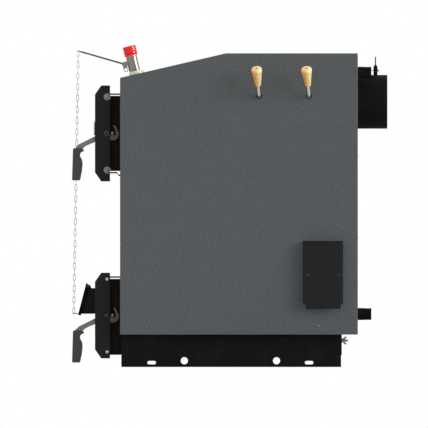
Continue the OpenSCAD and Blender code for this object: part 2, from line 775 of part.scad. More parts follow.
module door_shell(z0, z1, strap_lo, strap_hi) {
    color([0.14, 0.14, 0.15]) difference() {
        union() {
            difference() {
                across(-door_w / 2, door_w / 2) door_outline(z0, z1, 0, door_y1);
                across(-door_w / 2 + door_t, door_w / 2 - door_t) door_outline(z0, z1, door_t, door_y1 + 1);
                latch_slot((z0 + z1) / 2);
            }
            rod_x(latch_x + latch_t + 1, door_w / 2 - door_t, latch_y, (z0 + z1) / 2,
                  latch_pivot_d + boss_wall);
            rod_x(latch_x - 2, door_w / 2 + 2, latch_y, (z0 + z1) / 2, latch_pivot_d);
            for (z = [strap_lo + strap_t + seat_gap, strap_hi - seat_gap - hinge_barrel_h]) {
                rod_z(z, z + hinge_barrel_h, hinge_x, hinge_y, hinge_barrel_d);
                box([hinge_x, hinge_y - hinge_barrel_d / 2, z],
                    [-door_w / 2 + EPS, hinge_y + hinge_barrel_d / 2, z + hinge_barrel_h]);
            }
        }
        rod_z(z0 - 1, z1 + 1, hinge_x, hinge_y, hinge_rod_d + 2 * pin_gap);
    }
}

// Board from z0 to z1 that fills the door shell up to the sealing rope
module door_liner(z0, z1, door_z0, door_z1) {
    back = neck_y0 - seat_gap - rope_t;
    color([0.55, 0.50, 0.42])
        across(-liner_w / 2, liner_w / 2) intersection() {
            door_outline(door_z0, door_z1, door_t, back);
            translate([door_y0, z0]) square([back - door_y0, z1 - z0]);
        }
}

module door_rope(z0, z1) {
    w = neck_t - 1;
    y0 = neck_y0 - seat_gap - rope_t;
    y1 = neck_y0 - seat_gap;
    color([0.85, 0.83, 0.78]) difference() {
        box([-chamber_w / 2 - w, y0, z0 + neck_t - w], [chamber_w / 2 + w, y1, z1 - neck_t + w]);
        box([-chamber_w / 2, y0 - 1, z0 + neck_t], [chamber_w / 2, y1 + 1, z1 - neck_t]);
    }
}

module upper_door() {
    door_shell(upper_door_z0, upper_door_z1, upper_door_z0 + upper_strap_inset,
               upper_door_z1 - upper_strap_inset - strap_t);
}

module upper_door_liner() {
    door_liner(upper_neck_z + 1, upper_neck_z + upper_neck_h - 1, upper_door_z0, upper_door_z1);
}

module upper_door_rope() {
    door_rope(upper_neck_z, upper_neck_z + upper_neck_h);
}

module duct_bore() {
    box([damper_x - duct_w / 2 + duct_t, door_y0 - 100, duct_z0 + duct_t],
        [damper_x + duct_w / 2 - duct_t, neck_y0 + 1, duct_z1 - duct_t]);
}

module lower_door() {
    difference() {
        door_shell(lower_door_z0, lower_door_z1, lower_door_z0 + lower_strap_inset_bottom,
                   lower_door_z1 - lower_strap_inset_top - strap_t);
        duct_bore();
    }
}

module lower_door_liner() {
    difference() {
        door_liner(base_h + 1, base_h + lower_neck_h - 1, lower_door_z0, lower_door_z1);
        duct_bore();
    }
}

module lower_door_rope() {
    door_rope(base_h, base_h + lower_neck_h);
}

// ---------- Latches ----------

// Hook and arm, drawn about the pivot with the door front to the left
module latch_outline() {
    k = latch_reach / 112;
    h = hook_r / 22;
    c = [catch_reach + 1, -2.8 * h];
    throat_r0 = catch_reach - catch_d / 2 - 1.6;
    throat_r1 = catch_reach + catch_d / 2 + 2.4;
    catch_a = atan(catch_rise / catch_reach);
    throat_a0 = catch_a - asin((catch_d / 2 + seat_gap + 0.1) / norm([catch_reach, catch_rise]));
    difference() {
        union() {
            circle(r = throat_r0 - 0.4);
            translate(c) circle(r = hook_r);
            polygon(concat([[c[0] + hook_r * cos(15), c[1] + hook_r * sin(15)]],
                           h * [[32.5, 26], [28.5, 29.5], [24.5, 27.5], [20, 0]]));
            polygon([[0, -throat_r0 + 0.6], [c[0] - 4, c[1] - hook_r + 0.4], [c[0], 0], [0, 0]]);
        }
        difference() {
            polygon(concat([[0, 0]], arc([0, 0], throat_r1 + 3, throat_a0, 20, 5),
                           h * [[29, 15], [23.8, 26], [10, 60], [-40, 60], [-20, 12]]));
            circle(r = throat_r0);
        }
        polygon(h * [[0, 8], [5, 60], [-20, 60], [-20, 8]]);
    }
    rotate(180 + latch_tilt) translate([0, -latch_arm_w / 2]) square([52 * k, latch_arm_w]);
    polygon(k * [[-40, -9], [-99, -39], [-112, -51], [-84, -52.5], [-75, -45.5], [-57, -37], [-46, -33]]);
}

// Handgrip with a horn and a finger notch, hung from the end of the latch arm
module grip_outline() {
    k = latch_reach / 112;
    s = grip_l / 114;
    translate([0, -52 * k]) scale([k, s]) polygon(concat(
        arc([-113.5, -5.5], 5.5, 90, 180, 5),
        [[-122, -108]],
        arc([-118, -110], 4, 180, 270, 4),
        arc([-97, -110], 4, 270, 350, 4),
        [[-87.5, -84], [-84.8, -62], [-85, -48], [-88, -38], [-92.5, -31], [-94, -25], [-92, -18],
         [-87.5, -13]],
        arc([-83.5, -8], 4, -60, 30, 5),
        [[-86, -1]]));
}

module latch(latch_z) {
    translate([0, latch_y, latch_z]) difference() {
        across(latch_x, latch_x + latch_t) latch_outline();
        rod_x(latch_x - 1, latch_x + latch_t + 1, 0, 0, latch_pivot_d + 2 * pin_gap);
    }
}

module grip(latch_z) {
    mid = latch_x + latch_t / 2;
    color([0.26, 0.26, 0.25]) translate([0, latch_y, latch_z])
        across(mid - grip_t / 2, mid + grip_t / 2) grip_outline();
}

module upper_latch() {
    color([0.50, 0.48, 0.45]) latch(upper_latch_z);
}

module upper_grip() {
    grip(upper_latch_z);
}

module lower_latch() {
    color([0.50, 0.48, 0.45]) latch(lower_latch_z);
}

module lower_grip() {
    grip(lower_latch_z);
}

// ---------- Air damper ----------

module air_duct() {
    x0 = damper_x - duct_w / 2;
    x1 = damper_x + duct_w / 2;
    lug_t = duct_t;
    lug_r = flap_pin_d / 2 + 2;
    color([0.09, 0.09, 0.08]) {
        difference() {
            across(x0, x1) polygon([[door_y0, duct_z0], [mouth_y(duct_z0), duct_z0],
                                    [mouth_y(duct_z1), duct_z1], [door_y0, duct_z1]]);
            duct_bore();
        }
        for (x = [x0 + 8, x1 - 8 - lug_t]) {
            across(x, x + lug_t) polygon([[flap_pin_y - lug_r, duct_z1 - 1], [flap_pin_y + 12, duct_z1 - 1],
                                          [flap_pin_y + lug_r, flap_pin_z], [flap_pin_y - lug_r, flap_pin_z]]);
            rod_x(x, x + lug_t, flap_pin_y, flap_pin_z, 2 * lug_r);
        }
        rod_x(x0 - 6, x1 + 6, flap_pin_y, flap_pin_z, flap_pin_d);
    }
}

// Folded tray, drawn about its hinge pin with the plate upright: plate, lower fold, two cheeks with ears
module air_flap() {
    half_in = duct_w / 2 + flap_side_gap;
    half_out = half_in + flap_sheet;
    top = 8.5;
    color([0.12, 0.12, 0.12]) translate([damper_x, flap_pin_y, flap_pin_z]) rotate([-flap_tilt, 0, 0]) {
        difference() {
            union() {
                box([-half_out, -flap_t, -flap_bottom], [half_out, -flap_t + flap_sheet, top]);
                box([-half_out, -flap_t, -flap_bottom], [half_out, 0, -flap_bottom + flap_sheet]);
                for (x = [-half_out, half_in])
                    across(x, x + flap_sheet)
                        polygon([[-flap_t, -flap_bottom], [0, -flap_bottom], [0, -12], [9.5, -4.7], [8, 2.4],
                                 [-flap_t, top]]);
            }
            rod_x(-half_out - 1, half_out + 1, 0, 0, flap_pin_d + 2 * pin_gap);
        }
        translate([0, ring_local_y, ring_local_z]) rotate([flap_tilt, 0, 0])
            rotate_extrude() translate([flap_ring_r, 0]) circle(d = eye_ring_wire);
        rod_y(ring_local_y + flap_ring_r, -flap_t + 1, 0, ring_local_z, eye_ring_wire);
    }
}

// ---------- Draft regulator ----------

// One of the two cheeks: a web to the body, a boss round the pivot and an empty eye below it
module cheek_outline() {
    boss_r = lever_hub_d / 2 - 1.5;
    eye_r = cheek_eye_d / 2 + 2.5;
    eye = [lever_y + 5.7, lever_z - cheek_eye_drop];
    difference() {
        union() {
            polygon([[lever_y, lever_z + boss_r], by_regulator(lever_pivot_up + 9, regulator_d / 2 - 4),
                     by_regulator(lever_pivot_up - 9, regulator_d / 2 - 4), [lever_y, lever_z - boss_r]]);
            translate([lever_y, lever_z]) circle(r = boss_r);
            translate(eye) circle(r = eye_r);
            polygon([[lever_y - boss_r, lever_z], eye - [eye_r, 0], eye + [eye_r, 0],
                     [lever_y + boss_r, lever_z]]);
        }
        translate(eye) circle(d = cheek_eye_d);
    }
}

module regulator_body() {
    cheek_x = hub_half_w + 1;
    color([0.52, 0.50, 0.48]) {
        on_slope(damper_x, regulator_y) {
            cylinder(h = foot_ring_h, d = regulator_d + 4);
            cylinder(h = regulator_h, d = regulator_d);
        }
        for (x = [-cheek_x - cheek_t, cheek_x])
            across(damper_x + x, damper_x + x + cheek_t) cheek_outline();
        rod_x(damper_x - cheek_x - cheek_t, damper_x + cheek_x + cheek_t, lever_y, lever_z, lever_pin_d);
    }
}

// Skirt with a groove above it, and a round shoulder about a shallow dish
function knob_profile() =
    let (r = knob_d / 2, skirt = 5, groove = 1.2, dish = 1)
    concat([[0, 0], [r - 1, 0], [r, 1], [r, skirt], [r - groove, skirt + groove],
            [r - groove, skirt + groove + 0.6], [r, skirt + 2 * groove + 0.6]],
           arc([r - knob_round, knob_h - knob_round], knob_round, 0, 90, 6),
           [[r - 2 * knob_round, knob_h], [r - 2 * knob_round - dish, knob_h - dish], [0, knob_h - dish]]);

module regulator_knob() {
    color([0.95, 0.17, 0.16]) on_slope(damper_x, regulator_y)
        translate([0, 0, regulator_h + seat_gap]) rotate_extrude() polygon(knob_profile());
}

module regulator_lever() {
    color([0.50, 0.49, 0.46]) translate([damper_x, lever_y, lever_z]) {
        difference() {
            union() {
                rod_x(-hub_half_w, hub_half_w, 0, 0, lever_hub_d);
                rotate([-lever_rise, 0, 0]) rod_y(-lever_l + 2 * eye_ring_r - 0.5, -2, 0, 0, lever_d);
            }
            rod_x(-hub_half_w - 1, hub_half_w + 1, 0, 0, lever_pin_d + 2 * pin_gap);
        }
        rotate([-lever_rise, 0, 0]) translate([0, -lever_l + eye_ring_r, 0])
            rotate_extrude() translate([eye_ring_r, 0]) circle(d = eye_ring_wire);
    }
}

// ---------- Chain ----------

// One link: two straight wires and two half rings
module chain_link() {
    r = (link_w - chain_wire) / 2;
    straight = chain_pitch + 2 * chain_wire + seat_gap - link_w;
    for (s = [-1, 1]) {
        translate([s * r, 0, -straight / 2]) cylinder(h = straight, d = chain_wire, $fn = 16);
        translate([0, 0, s * straight / 2]) rotate([s * 90, 0, 0])
            rotate_extrude(angle = 180) translate([r, 0]) circle(d = chain_wire, $fn = 16);
    }
}

module regulator_chain() {
    color([0.80, 0.79, 0.76])
        translate([damper_x, eye_y, eye_z]) rotate([-chain_lean, 0, 0])
            for (i = [0:chain_links - 1])
                translate([0, 0, -end_reach - i * chain_pitch]) rotate([0, 0, 90 + 90 * (i % 2)])
                    chain_link();
}

// ---------- Side levers ----------

// Places children at the end of the lever's bend, their Z axis along the tilted rod
module past_bend(y) {
    translate([0, y, side_lever_z]) rotate([side_rod_lean, 0, 0])
        translate([side_bend_x + side_bend_r * cos(side_rod_tilt), 0,
                   side_bend_r - side_bend_r * sin(side_rod_tilt)])
            rotate([0, side_rod_tilt, 0]) children();
}

// Shaft with its flap inside the body, a bend that is drawn a little thinner, and the tilted rod
module side_lever(y, flap_r) {
    color([0.62, 0.62, 0.60]) {
        translate([0, y, side_lever_z]) rotate([side_rod_lean, 0, 0]) {
            rod_x(-chamber_w / 2 + move_gap - shaft_proud, side_bend_x + bend_lap, 0, 0, side_rod_d);
            translate([side_bend_x, 0, side_bend_r]) rotate([90, 0, 0]) rotate([0, 0, -90])
                rotate_extrude(angle = 90 - side_rod_tilt) translate([side_bend_r, 0])
                    circle(d = side_rod_d - bend_draw);
        }
        past_bend(y) translate([0, 0, -bend_lap]) cylinder(h = side_rod_l + bend_lap, d = side_rod_d);
        box([-chamber_w / 2 + move_gap, y - side_flap_t / 2, side_lever_z - flap_r],
            [chamber_w / 2 - move_gap, y + side_flap_t / 2, side_lever_z + flap_r]);
    }
}

// Turned handle: a cone that widens to a rounded end, with a screw hole in it
module wood_handle(y) {
    r0 = wood_neck_d / 2;
    r1 = wood_d / 2;
    bore_r = wood_bore_d / 2;
    bore_l = 9;
    neck_r = 2;
    round_z = wood_l - wood_round;
    taper = atan((r1 - r0) / round_z);
    color([0.94, 0.69, 0.39])
        past_bend(y)
            translate([0, 0, side_rod_l]) rotate_extrude()
                polygon(concat([[0, 0]],
                    arc([r0 - neck_r, neck_r], neck_r, -90, -taper, 4),
                    arc([r1 - wood_round, round_z], wood_round, -taper, 90, 7),
                    [[bore_r, wood_l], [bore_r, wood_l - bore_l], [0, wood_l - bore_l]]));
}

module front_side_lever() {
    side_lever(baffle_y, front_flap_r);
}

module front_wood_handle() {
    wood_handle(baffle_y);
}

module rear_side_lever() {
    side_lever(rear_lever_y, rear_flap_r);
}

module rear_wood_handle() {
    wood_handle(rear_lever_y);
}

module thermometer() {
    color([1.0, 1.0, 0.88]) on_slope(thermo_x, casing_y0 + thermo_inset)
        difference() {
            cylinder(h = thermo_h, d = thermo_d);
            translate([0, 0, thermo_h - thermo_dish])
                cylinder(h = thermo_dish + 1, d = thermo_d - 2 * thermo_rim);
        }
}

base_rails();
base_crossbars();
jacket_sides();
jacket_back();
jacket_front();
jacket_top();
jacket_floor();
firebox_baffle();
grate();
upper_neck();
lower_neck();
hinge_straps();
casing_right();
casing_left();
casing_top();
casing_back();
casing_front();
side_cover();
flue_spigot();
pipe_stubs();
rear_hatch();
hatch_wing_nuts();
regulator_body();
thermometer();
upper_door();
upper_door_liner();
upper_door_rope();
upper_latch();
upper_grip();
lower_door();
lower_door_liner();
lower_door_rope();
lower_latch();
lower_grip();
air_duct();
air_flap();
regulator_knob();
regulator_lever();
regulator_chain();
front_side_lever();
front_wood_handle();
rear_side_lever();
rear_wood_handle();
flue_damper();
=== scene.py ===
"""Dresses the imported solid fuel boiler: sheet metal, fixings, finishes, light and camera."""

import json
import math

import bmesh
import bpy
from bpy.props import FloatProperty, FloatVectorProperty, IntProperty, PointerProperty
from bpy.types import Operator, Panel, PropertyGroup
from mathutils import Matrix, Vector


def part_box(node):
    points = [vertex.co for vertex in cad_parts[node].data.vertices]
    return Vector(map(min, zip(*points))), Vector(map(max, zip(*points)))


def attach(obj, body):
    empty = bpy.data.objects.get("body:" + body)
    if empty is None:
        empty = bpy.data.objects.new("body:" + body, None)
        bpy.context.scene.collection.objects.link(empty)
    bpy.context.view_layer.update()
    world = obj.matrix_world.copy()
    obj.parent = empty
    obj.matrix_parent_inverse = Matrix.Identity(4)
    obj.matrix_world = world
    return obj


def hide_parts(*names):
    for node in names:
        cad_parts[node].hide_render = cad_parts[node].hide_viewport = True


bl_info = {
    "name": "Solid fuel boiler",
    "version": (1, 0, 0),
    "blender": (4, 5, 0),
    "location": "View3D > Sidebar > Boiler",
    "description": "Rounded panels, fixings, finishes and a studio round a packed boiler",
    "category": "Object",
}

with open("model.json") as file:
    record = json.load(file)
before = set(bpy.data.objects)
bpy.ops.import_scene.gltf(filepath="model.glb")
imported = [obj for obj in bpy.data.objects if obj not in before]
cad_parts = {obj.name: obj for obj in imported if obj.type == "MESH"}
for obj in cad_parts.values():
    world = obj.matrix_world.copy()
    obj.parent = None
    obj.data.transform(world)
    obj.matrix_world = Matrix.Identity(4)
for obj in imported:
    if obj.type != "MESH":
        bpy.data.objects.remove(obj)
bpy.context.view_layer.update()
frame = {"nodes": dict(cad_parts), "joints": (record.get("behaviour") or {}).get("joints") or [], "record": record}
RECORD = frame["record"]
JOINTS = {joint["name"]: joint for joint in frame["joints"]}
NODE_SLOT = {part["node"]: part["material_slot"] for part in RECORD["subparts"]}
NODE_BODY = {
    node: body for body, nodes in RECORD["behaviour"]["bodies"].items() for node in nodes
}
MM = 0.001
X, Y, Z = Vector((1, 0, 0)), Vector((0, 1, 0)), Vector((0, 0, 1))
QUARTER_TURN = math.pi / 2

# The regulator and the thermometer stand square on the sloping part of the lid
LID_NORMAL = Vector(JOINTS["regulator_knob_turn"]["axis"])


def joint_place(name):
    """The point that a joint turns about, at rest."""
    return Vector(JOINTS[name]["pos_m"])


# ---------- Shader writing ----------


def socket_of(value):
    """The socket behind a shader value, or the plain value itself."""
    return value.socket if isinstance(value, Signal) else value


class Signal:
    """A number, colour or vector in a shader, written with +, -, * and / where it is a number."""

    def __init__(self, finish, socket):
        self.finish = finish
        self.socket = socket

    def maths(self, operation, first, second):
        """What a Math node makes of two values."""
        settings = {"operation": operation}
        node = self.finish.node("ShaderNodeMath", settings, {0: first, 1: second})
        return Signal(self.finish, node.outputs[0])

    def __add__(self, other):
        return self.maths("ADD", self, other)

    def __radd__(self, other):
        return self.maths("ADD", other, self)

    def __sub__(self, other):
        return self.maths("SUBTRACT", self, other)

    def __rsub__(self, other):
        return self.maths("SUBTRACT", other, self)

    def __mul__(self, other):
        return self.maths("MULTIPLY", self, other)

    def __rmul__(self, other):
        return self.maths("MULTIPLY", other, self)

    def __truediv__(self, other):
        return self.maths("DIVIDE", self, other)

    def __rtruediv__(self, other):
        return self.maths("DIVIDE", other, self)


class Finish:
    """One material's nodes. Its patterns read Object coordinates."""

    def __init__(self, name):
        self.material = bpy.data.materials.new(name)
        self.material.use_nodes = True
        self.tree = self.material.node_tree
        self.tree.nodes.clear()
        self.place = self.signal("ShaderNodeTexCoord", {}, {}, "Object")

    def node(self, kind, settings, inputs):
        """Adds a node: its settings are set first, and then its inputs get values or links."""
        node = self.tree.nodes.new(kind)
        for key, value in settings.items():
            if key == "stops":
                ramp = node.color_ramp
                while len(ramp.elements) < len(value):
                    ramp.elements.new(1.0)
                for element, (position, colour) in zip(ramp.elements, value):
                    element.position = position
                    element.color = colour
            else:
                setattr(node, key, value)
        for key, value in inputs.items():
            value = socket_of(value)
            if isinstance(value, bpy.types.NodeSocket):
                self.tree.links.new(value, node.inputs[key])
            else:
                node.inputs[key].default_value = value
        return node

    def signal(self, kind, settings, inputs, output=0):
        """Adds a node and gives back what comes out of it."""
        return Signal(self, self.node(kind, settings, inputs).outputs[output])

    def turned(self, location=(0, 0, 0), rotation=(0, 0, 0), scale=(1, 1, 1)):
        """Object coordinates seen from a piece's own place and direction."""
        inputs = {"Vector": self.place, "Location": location, "Rotation": rotation, "Scale": scale}
        return self.signal("ShaderNodeMapping", {"vector_type": "TEXTURE"}, inputs)

    def noise(self, size, detail=2.0, rough=0.5, place=None, distortion=0.0):
        """Soft noise whose lumps are about size metres across, from 0 to 1."""
        inputs = {
            "Vector": place or self.place,
            "Scale": 1 / size,
            "Detail": detail,
            "Roughness": rough,
            "Distortion": distortion,
        }
        return self.signal("ShaderNodeTexNoise", {}, inputs, "Fac")

    def part(self, vector, axis):
        """One of the X, Y and Z parts of a vector."""
        return self.signal("ShaderNodeSeparateXYZ", {}, {0: vector}, "XYZ".index(axis))

    def from_middle(self):
        """Distance from the object's origin."""
        length = {"operation": "LENGTH"}
        return self.signal("ShaderNodeVectorMath", length, {0: self.place}, "Value")

    def ramp(self, value, *stops):
        """Turns a number into another by (position, value) stops."""
        colours = [(p, (v, v, v, 1)) for p, v in stops]
        return self.signal("ShaderNodeValToRGB", {"stops": colours}, {"Fac": value}, "Color")

    def blend(self, factor, first, second):
        """A colour between two, by a factor from 0 to 1."""
        inputs = {0: factor, 6: opaque(first), 7: opaque(second)}
        return self.signal("ShaderNodeMix", {"data_type": "RGBA"}, inputs, 2)

    def edges(self, radius):
        """1 along sharp convex and concave edges, and 0 on flat ground."""
        soft = self.signal("ShaderNodeBevel", {"samples": 4}, {"Radius": radius})
        flat = self.signal("ShaderNodeNewGeometry", {}, {}, "Normal")
        dot = {"operation": "DOT_PRODUCT"}
        alike = self.signal("ShaderNodeVectorMath", dot, {0: soft, 1: flat}, "Value")
        return self.ramp(1 - alike, (0.02, 0), (0.2, 1))

    def bump(self, height, depth, strength=1.0):
        """A bumped normal. Depth is the bumps' height in metres."""
        inputs = {"Height": height, "Distance": depth, "Strength": strength}
        return self.signal("ShaderNodeBump", {}, inputs, "Normal")

    def surface(self, **inputs):
        """Closes the material with a Principled surface. Names of inputs use _ for a space."""
        named = {key.replace("_", " "): value for key, value in inputs.items()}
        named["Base Color"] = opaque(named["Base Color"])
        shader = self.node("ShaderNodeBsdfPrincipled", {}, named)
        self.node("ShaderNodeOutputMaterial", {}, {"Surface": shader.outputs[0]})
        return self.material


def opaque(colour):
    """A colour with its alpha, or the signal it is."""
    return colour if isinstance(colour, Signal) else (*tuple(colour)[:3], 1.0)


def shade(colour, factor):
    """A colour made lighter or darker."""
    return tuple(min(1.0, channel * factor) for channel in tuple(colour)[:3])


def linear(red, green, blue):
    """A display colour, from 0 to 255, as linear light."""
    return tuple(((channel / 255 + 0.055) / 1.055) ** 2.4 for channel in (red, green, blue))


# ---------- Finishes ----------

GRIME = (0.16, 0.13, 0.10)
RUST = (0.10, 0.042, 0.020)
SOOT = (0.16, 0.14, 0.12)
RUBBED_STEEL = (0.05, 0.046, 0.042)
# Scale of the wave that draws the sealing rope's strands, about 120 of them to a metre
STRANDS = 75.0


def powder_coat(name, colour, rough=0.6, mottle=0.2, worn=0.0):
    """Sheet steel with a fine-textured powder coat: flecks, a soft cloud and orange peel."""
    f = Finish(name)
    flecks = f.noise(6.5 * MM, 2, 0.55)
    grains = f.noise(1.6 * MM, 2, 0.5)
    cloud = f.noise(90 * MM, 2, 0.5)
    tone = f.ramp(flecks * 0.74 + cloud * 0.08 + grains * 0.18, (0.3, 0), (0.7, 1))
    paint = f.blend(tone, shade(colour, 1 - mottle), shade(colour, 1 + mottle))
    if worn:
        rub = f.edges(1.5 * MM) * f.ramp(f.noise(14 * MM, 3, 0.6), (0.45, 0), (0.7, 1)) * worn
        paint = f.blend(rub, paint, shade(colour, 2.6))
    relief = f.bump(grains * 0.6 + f.noise(0.9 * MM, 1) * 0.4, 0.12 * MM, 0.5)
    return f.surface(
        Base_Color=paint, Roughness=rough - 0.06 + grains * 0.12, Specular_IOR_Level=0.05,
        Normal=relief,
    )


def stove_paint(name, colour, worn=0.5):
    """Matt heat-resistant black on plate steel, dusty in places and rubbed at its edges."""
    f = Finish(name)
    dust = f.ramp(f.noise(45 * MM, 4, 0.6), (0.48, 0), (0.75, 1))
    grain = f.noise(1.2 * MM, 2, 0.5)
    paint = f.blend(dust * 0.35, colour, shade(colour, 2.4))
    rub = f.edges(1.2 * MM) * f.ramp(f.noise(9 * MM, 3, 0.6), (0.42, 0), (0.7, 1)) * worn
    paint = f.blend(rub, paint, RUBBED_STEEL)
    return f.surface(
        Base_Color=paint, Roughness=0.62 + grain * 0.16, Specular_IOR_Level=0.06,
        Normal=f.bump(grain, 0.15 * MM, 0.4),
    )


def brushed(name, colour, rough=0.4, along="Z", dirt=0.3, relief=0.5):
    """Bare or zinc-plated steel with fine drawn lines and a few stains."""
    f = Finish(name)
    stretch = tuple(30.0 if axis == along else 1.0 for axis in "XYZ")
    lines = f.noise(0.7 * MM, 2, 0.6, f.turned(scale=stretch))
    stains = f.ramp(f.noise(11 * MM, 4, 0.6), (0.5, 0), (0.74, 1))
    tint = f.blend(lines, shade(colour, 0.82), shade(colour, 1.15))
    return f.surface(
        Base_Color=f.blend(stains * dirt, tint, GRIME), Metallic=1.0,
        Roughness=rough - 0.05 + lines * 0.1, Normal=f.bump(lines, 0.04 * MM, relief),
    )


def forged_latch(name, bright, dark, from_y, to_y):
    """Flat bar, bright at the arm, with painted shade that darkens it towards the hook."""
    f = Finish(name)
    lines = f.noise(0.8 * MM, 2, 0.6, f.turned(rotation=(-0.5, 0, 0), scale=(1, 24, 1)))
    stains = f.ramp(f.noise(10 * MM, 4, 0.6), (0.48, 0), (0.74, 1))
    # Painted shade: the bar is blended towards the dark colour on its way to the hook
    heat = f.ramp((f.part(f.place, "Y") - from_y) / (to_y - from_y), (0, 0), (1, 1))
    tint = f.blend(lines, shade(bright, 0.86), shade(bright, 1.12))
    tint = f.blend(stains * 0.3, tint, shade(bright, 0.55))
    return f.surface(
        Base_Color=f.blend(heat, tint, dark), Metallic=0.9, Roughness=0.42 + lines * 0.12,
        Normal=f.bump(lines, 0.04 * MM, 0.5),
    )


def moulded(name, colour):
    """Moulded plastic with a fine spark-eroded grain."""
    f = Finish(name)
    speck = f.noise(0.8 * MM, 2, 0.5)
    scuff = f.ramp(f.noise(16 * MM, 4, 0.65), (0.5, 0), (0.8, 1))
    return f.surface(
        Base_Color=f.blend(scuff * 0.35, colour, shade(colour, 1.45)),
        Roughness=0.5 + scuff * 0.12, Specular_IOR_Level=0.3,
        Normal=f.bump(speck, 0.08 * MM, 0.35),
    )


def lacquer_red(name, colour):
    """Glossy red plastic with a clear skin."""
    f = Finish(name)
    swirl = f.noise(20 * MM, 3, 0.5)
    haze = f.ramp(f.noise(3 * MM, 3, 0.6), (0.5, 0), (0.8, 1))
    return f.surface(
        Base_Color=f.blend(swirl * 0.4, colour, shade(colour, 0.86)), Roughness=0.3 + haze * 0.1,
        Specular_IOR_Level=0.05, Coat_Weight=0.6, Coat_Roughness=0.08,
    )


def turned_wood(name, light, dark, pale, place, turn, length):
    """Varnished beech with its grain along the handle, and a painted highlight that makes it paler on one side and
    at its end.
    """
    f = Finish(name)
    own = f.turned(place, turn)
    drawn = f.turned(place, turn, (1, 1, 14))
    rings = f.noise(4.5 * MM, 2, 0.5, drawn, 0.6)
    fibres = f.noise(0.9 * MM, 2, 0.6, drawn)
    pores = f.ramp(f.noise(0.6 * MM, 2, 0.5, drawn), (0.62, 0), (0.72, 1))
    cloud = f.noise(30 * MM, 2, 0.5, own)
    tone = f.ramp(rings * 0.6 + fibres * 0.25 + cloud * 0.15, (0.36, 0), (0.62, 1))
    # Painted highlight: the pale colour is blended over one side of the handle and over its end
    across = f.part(own, "X") / (26 * MM) + 0.35 + cloud * 0.3
    lit_side_highlight = f.ramp(across, (0.52, 0), (0.9, 0.8))
    end_highlight = f.ramp(f.part(own, "Z") / length, (0.955, 0), (0.99, 0.3))
    tint = f.blend(lit_side_highlight, f.blend(tone, dark, light), pale)
    tint = f.blend(end_highlight, tint, pale)
    tint = f.blend(pores * 0.35, tint, shade(dark, 0.5))
    return f.surface(
        Base_Color=tint, Roughness=0.3 + fibres * 0.08, Specular_IOR_Level=0.5, Coat_Weight=1.0,
        Coat_Roughness=0.25, Normal=f.bump(fibres - pores * 0.5, 0.03 * MM, 0.25),
    )


def raw_casting(name, colour):
    """Grey iron as cast, rough and a little rusty."""
    f = Finish(name)
    pits = f.noise(2.2 * MM, 4, 0.7)
    rust = f.ramp(f.noise(24 * MM, 4, 0.6), (0.48, 0), (0.7, 1))
    tint = f.blend(pits, shade(colour, 0.7), shade(colour, 1.4))
    return f.surface(
        Base_Color=f.blend(rust * 0.5, tint, RUST), Roughness=0.75 + pits * 0.15,
        Specular_IOR_Level=0.1, Normal=f.bump(pits, 0.5 * MM, 0.7),
    )


def fibre_board(name, colour):
    """Pressed mineral board: pale, fibrous and dull."""
    f = Finish(name)
    fibres = f.noise(2 * MM, 4, 0.7, f.turned(rotation=(0, 0.5, 0), scale=(6, 1, 1)))
    patches = f.noise(40 * MM, 3, 0.5)
    tint = f.blend(fibres * 0.6 + patches * 0.4, shade(colour, 0.72), shade(colour, 1.2))
    return f.surface(
        Base_Color=tint, Roughness=0.9, Specular_IOR_Level=0.05,
        Normal=f.bump(fibres, 0.4 * MM, 0.6),
    )


def braided_rope(name, colour):
    """White glass rope: two sets of slanting strands that cross."""
    f = Finish(name)
    slanting = {"bands_direction": "DIAGONAL"}
    one, other = (
        f.signal("ShaderNodeTexWave", slanting, {"Vector": way, "Scale": STRANDS}, "Fac")
        for way in (f.place, f.turned(scale=(-1, 1, 1)))
    )
    strands = one * other
    soot = f.ramp(f.noise(35 * MM, 3, 0.6), (0.5, 0), (0.75, 1))
    tint = f.blend(strands, shade(colour, 0.62), colour)
    return f.surface(
        Base_Color=f.blend(soot * 0.5, tint, SOOT), Roughness=0.92, Specular_IOR_Level=0.05,
        Normal=f.bump(strands, 0.8 * MM, 0.8),
    )


def pale_case(name, colour):
    """Cream plastic of the thermometer's case."""
    f = Finish(name)
    haze = f.noise(9 * MM, 3, 0.5)
    return f.surface(
        Base_Color=f.blend(haze, shade(colour, 0.94), colour), Roughness=0.4 + haze * 0.1,
        Specular_IOR_Level=0.5, Coat_Weight=1.0, Coat_Roughness=0.2,
    )


def printed_dial(name, ink, paper):
    """Matt print on a dial."""
    f = Finish(name)
    grain = f.noise(0.8 * MM, 2, 0.5)
    return f.surface(Base_Color=f.blend(grain * 0.15, ink, paper), Roughness=0.55 + grain * 0.1)


def clear_cover(name):
    """The thermometer's clear window."""
    f = Finish(name)
    smear = f.noise(12 * MM, 3, 0.6)
    return f.surface(
        Base_Color=(0.95, 0.97, 0.97), Roughness=0.05 + smear * 0.08, Transmission_Weight=1.0,
        IOR=1.3,
    )


def studio_floor(name, colour, size):
    """Pale matt floor that keeps the boiler's shadow and fades into the white round it."""
    f = Finish(name)
    grain = f.noise(0.4, 2, 0.5)
    return f.surface(
        Base_Color=f.blend(grain, shade(colour, 0.99), colour), Roughness=0.85 + grain * 0.05,
        Specular_IOR_Level=0.05, Alpha=f.ramp(f.from_middle() / size, (0.2, 1), (0.9, 0)),
    )


FINISHES = {}


def finish(name, maker, *values, **settings):
    """Makes a material once and gives it back each time it is asked for."""
    if name not in FINISHES:
        FINISHES[name] = maker(name, *values, **settings)
    return FINISHES[name]


# ---------- Shapes ----------

# Points closer than this are one point, in a part made here and in a CAD node's mesh
SEAM = 0.002 * MM
CAD_SEAM = 0.004 * MM
# Faces that turn by less than this are one flat face, and edges that turn by more are rounded
FLAT_TURN = math.radians(0.5)
SHARP_TURN = math.radians(28)
# Above these turns and this area an edge is shaded crisp
CRISP_TURN = math.radians(38)
SLIGHT_TURN = math.radians(2)
BROAD_FACE = 60 * MM * MM
SHORTEST_EDGE = 6 * MM
FINE_EDGE = 0.4 * MM


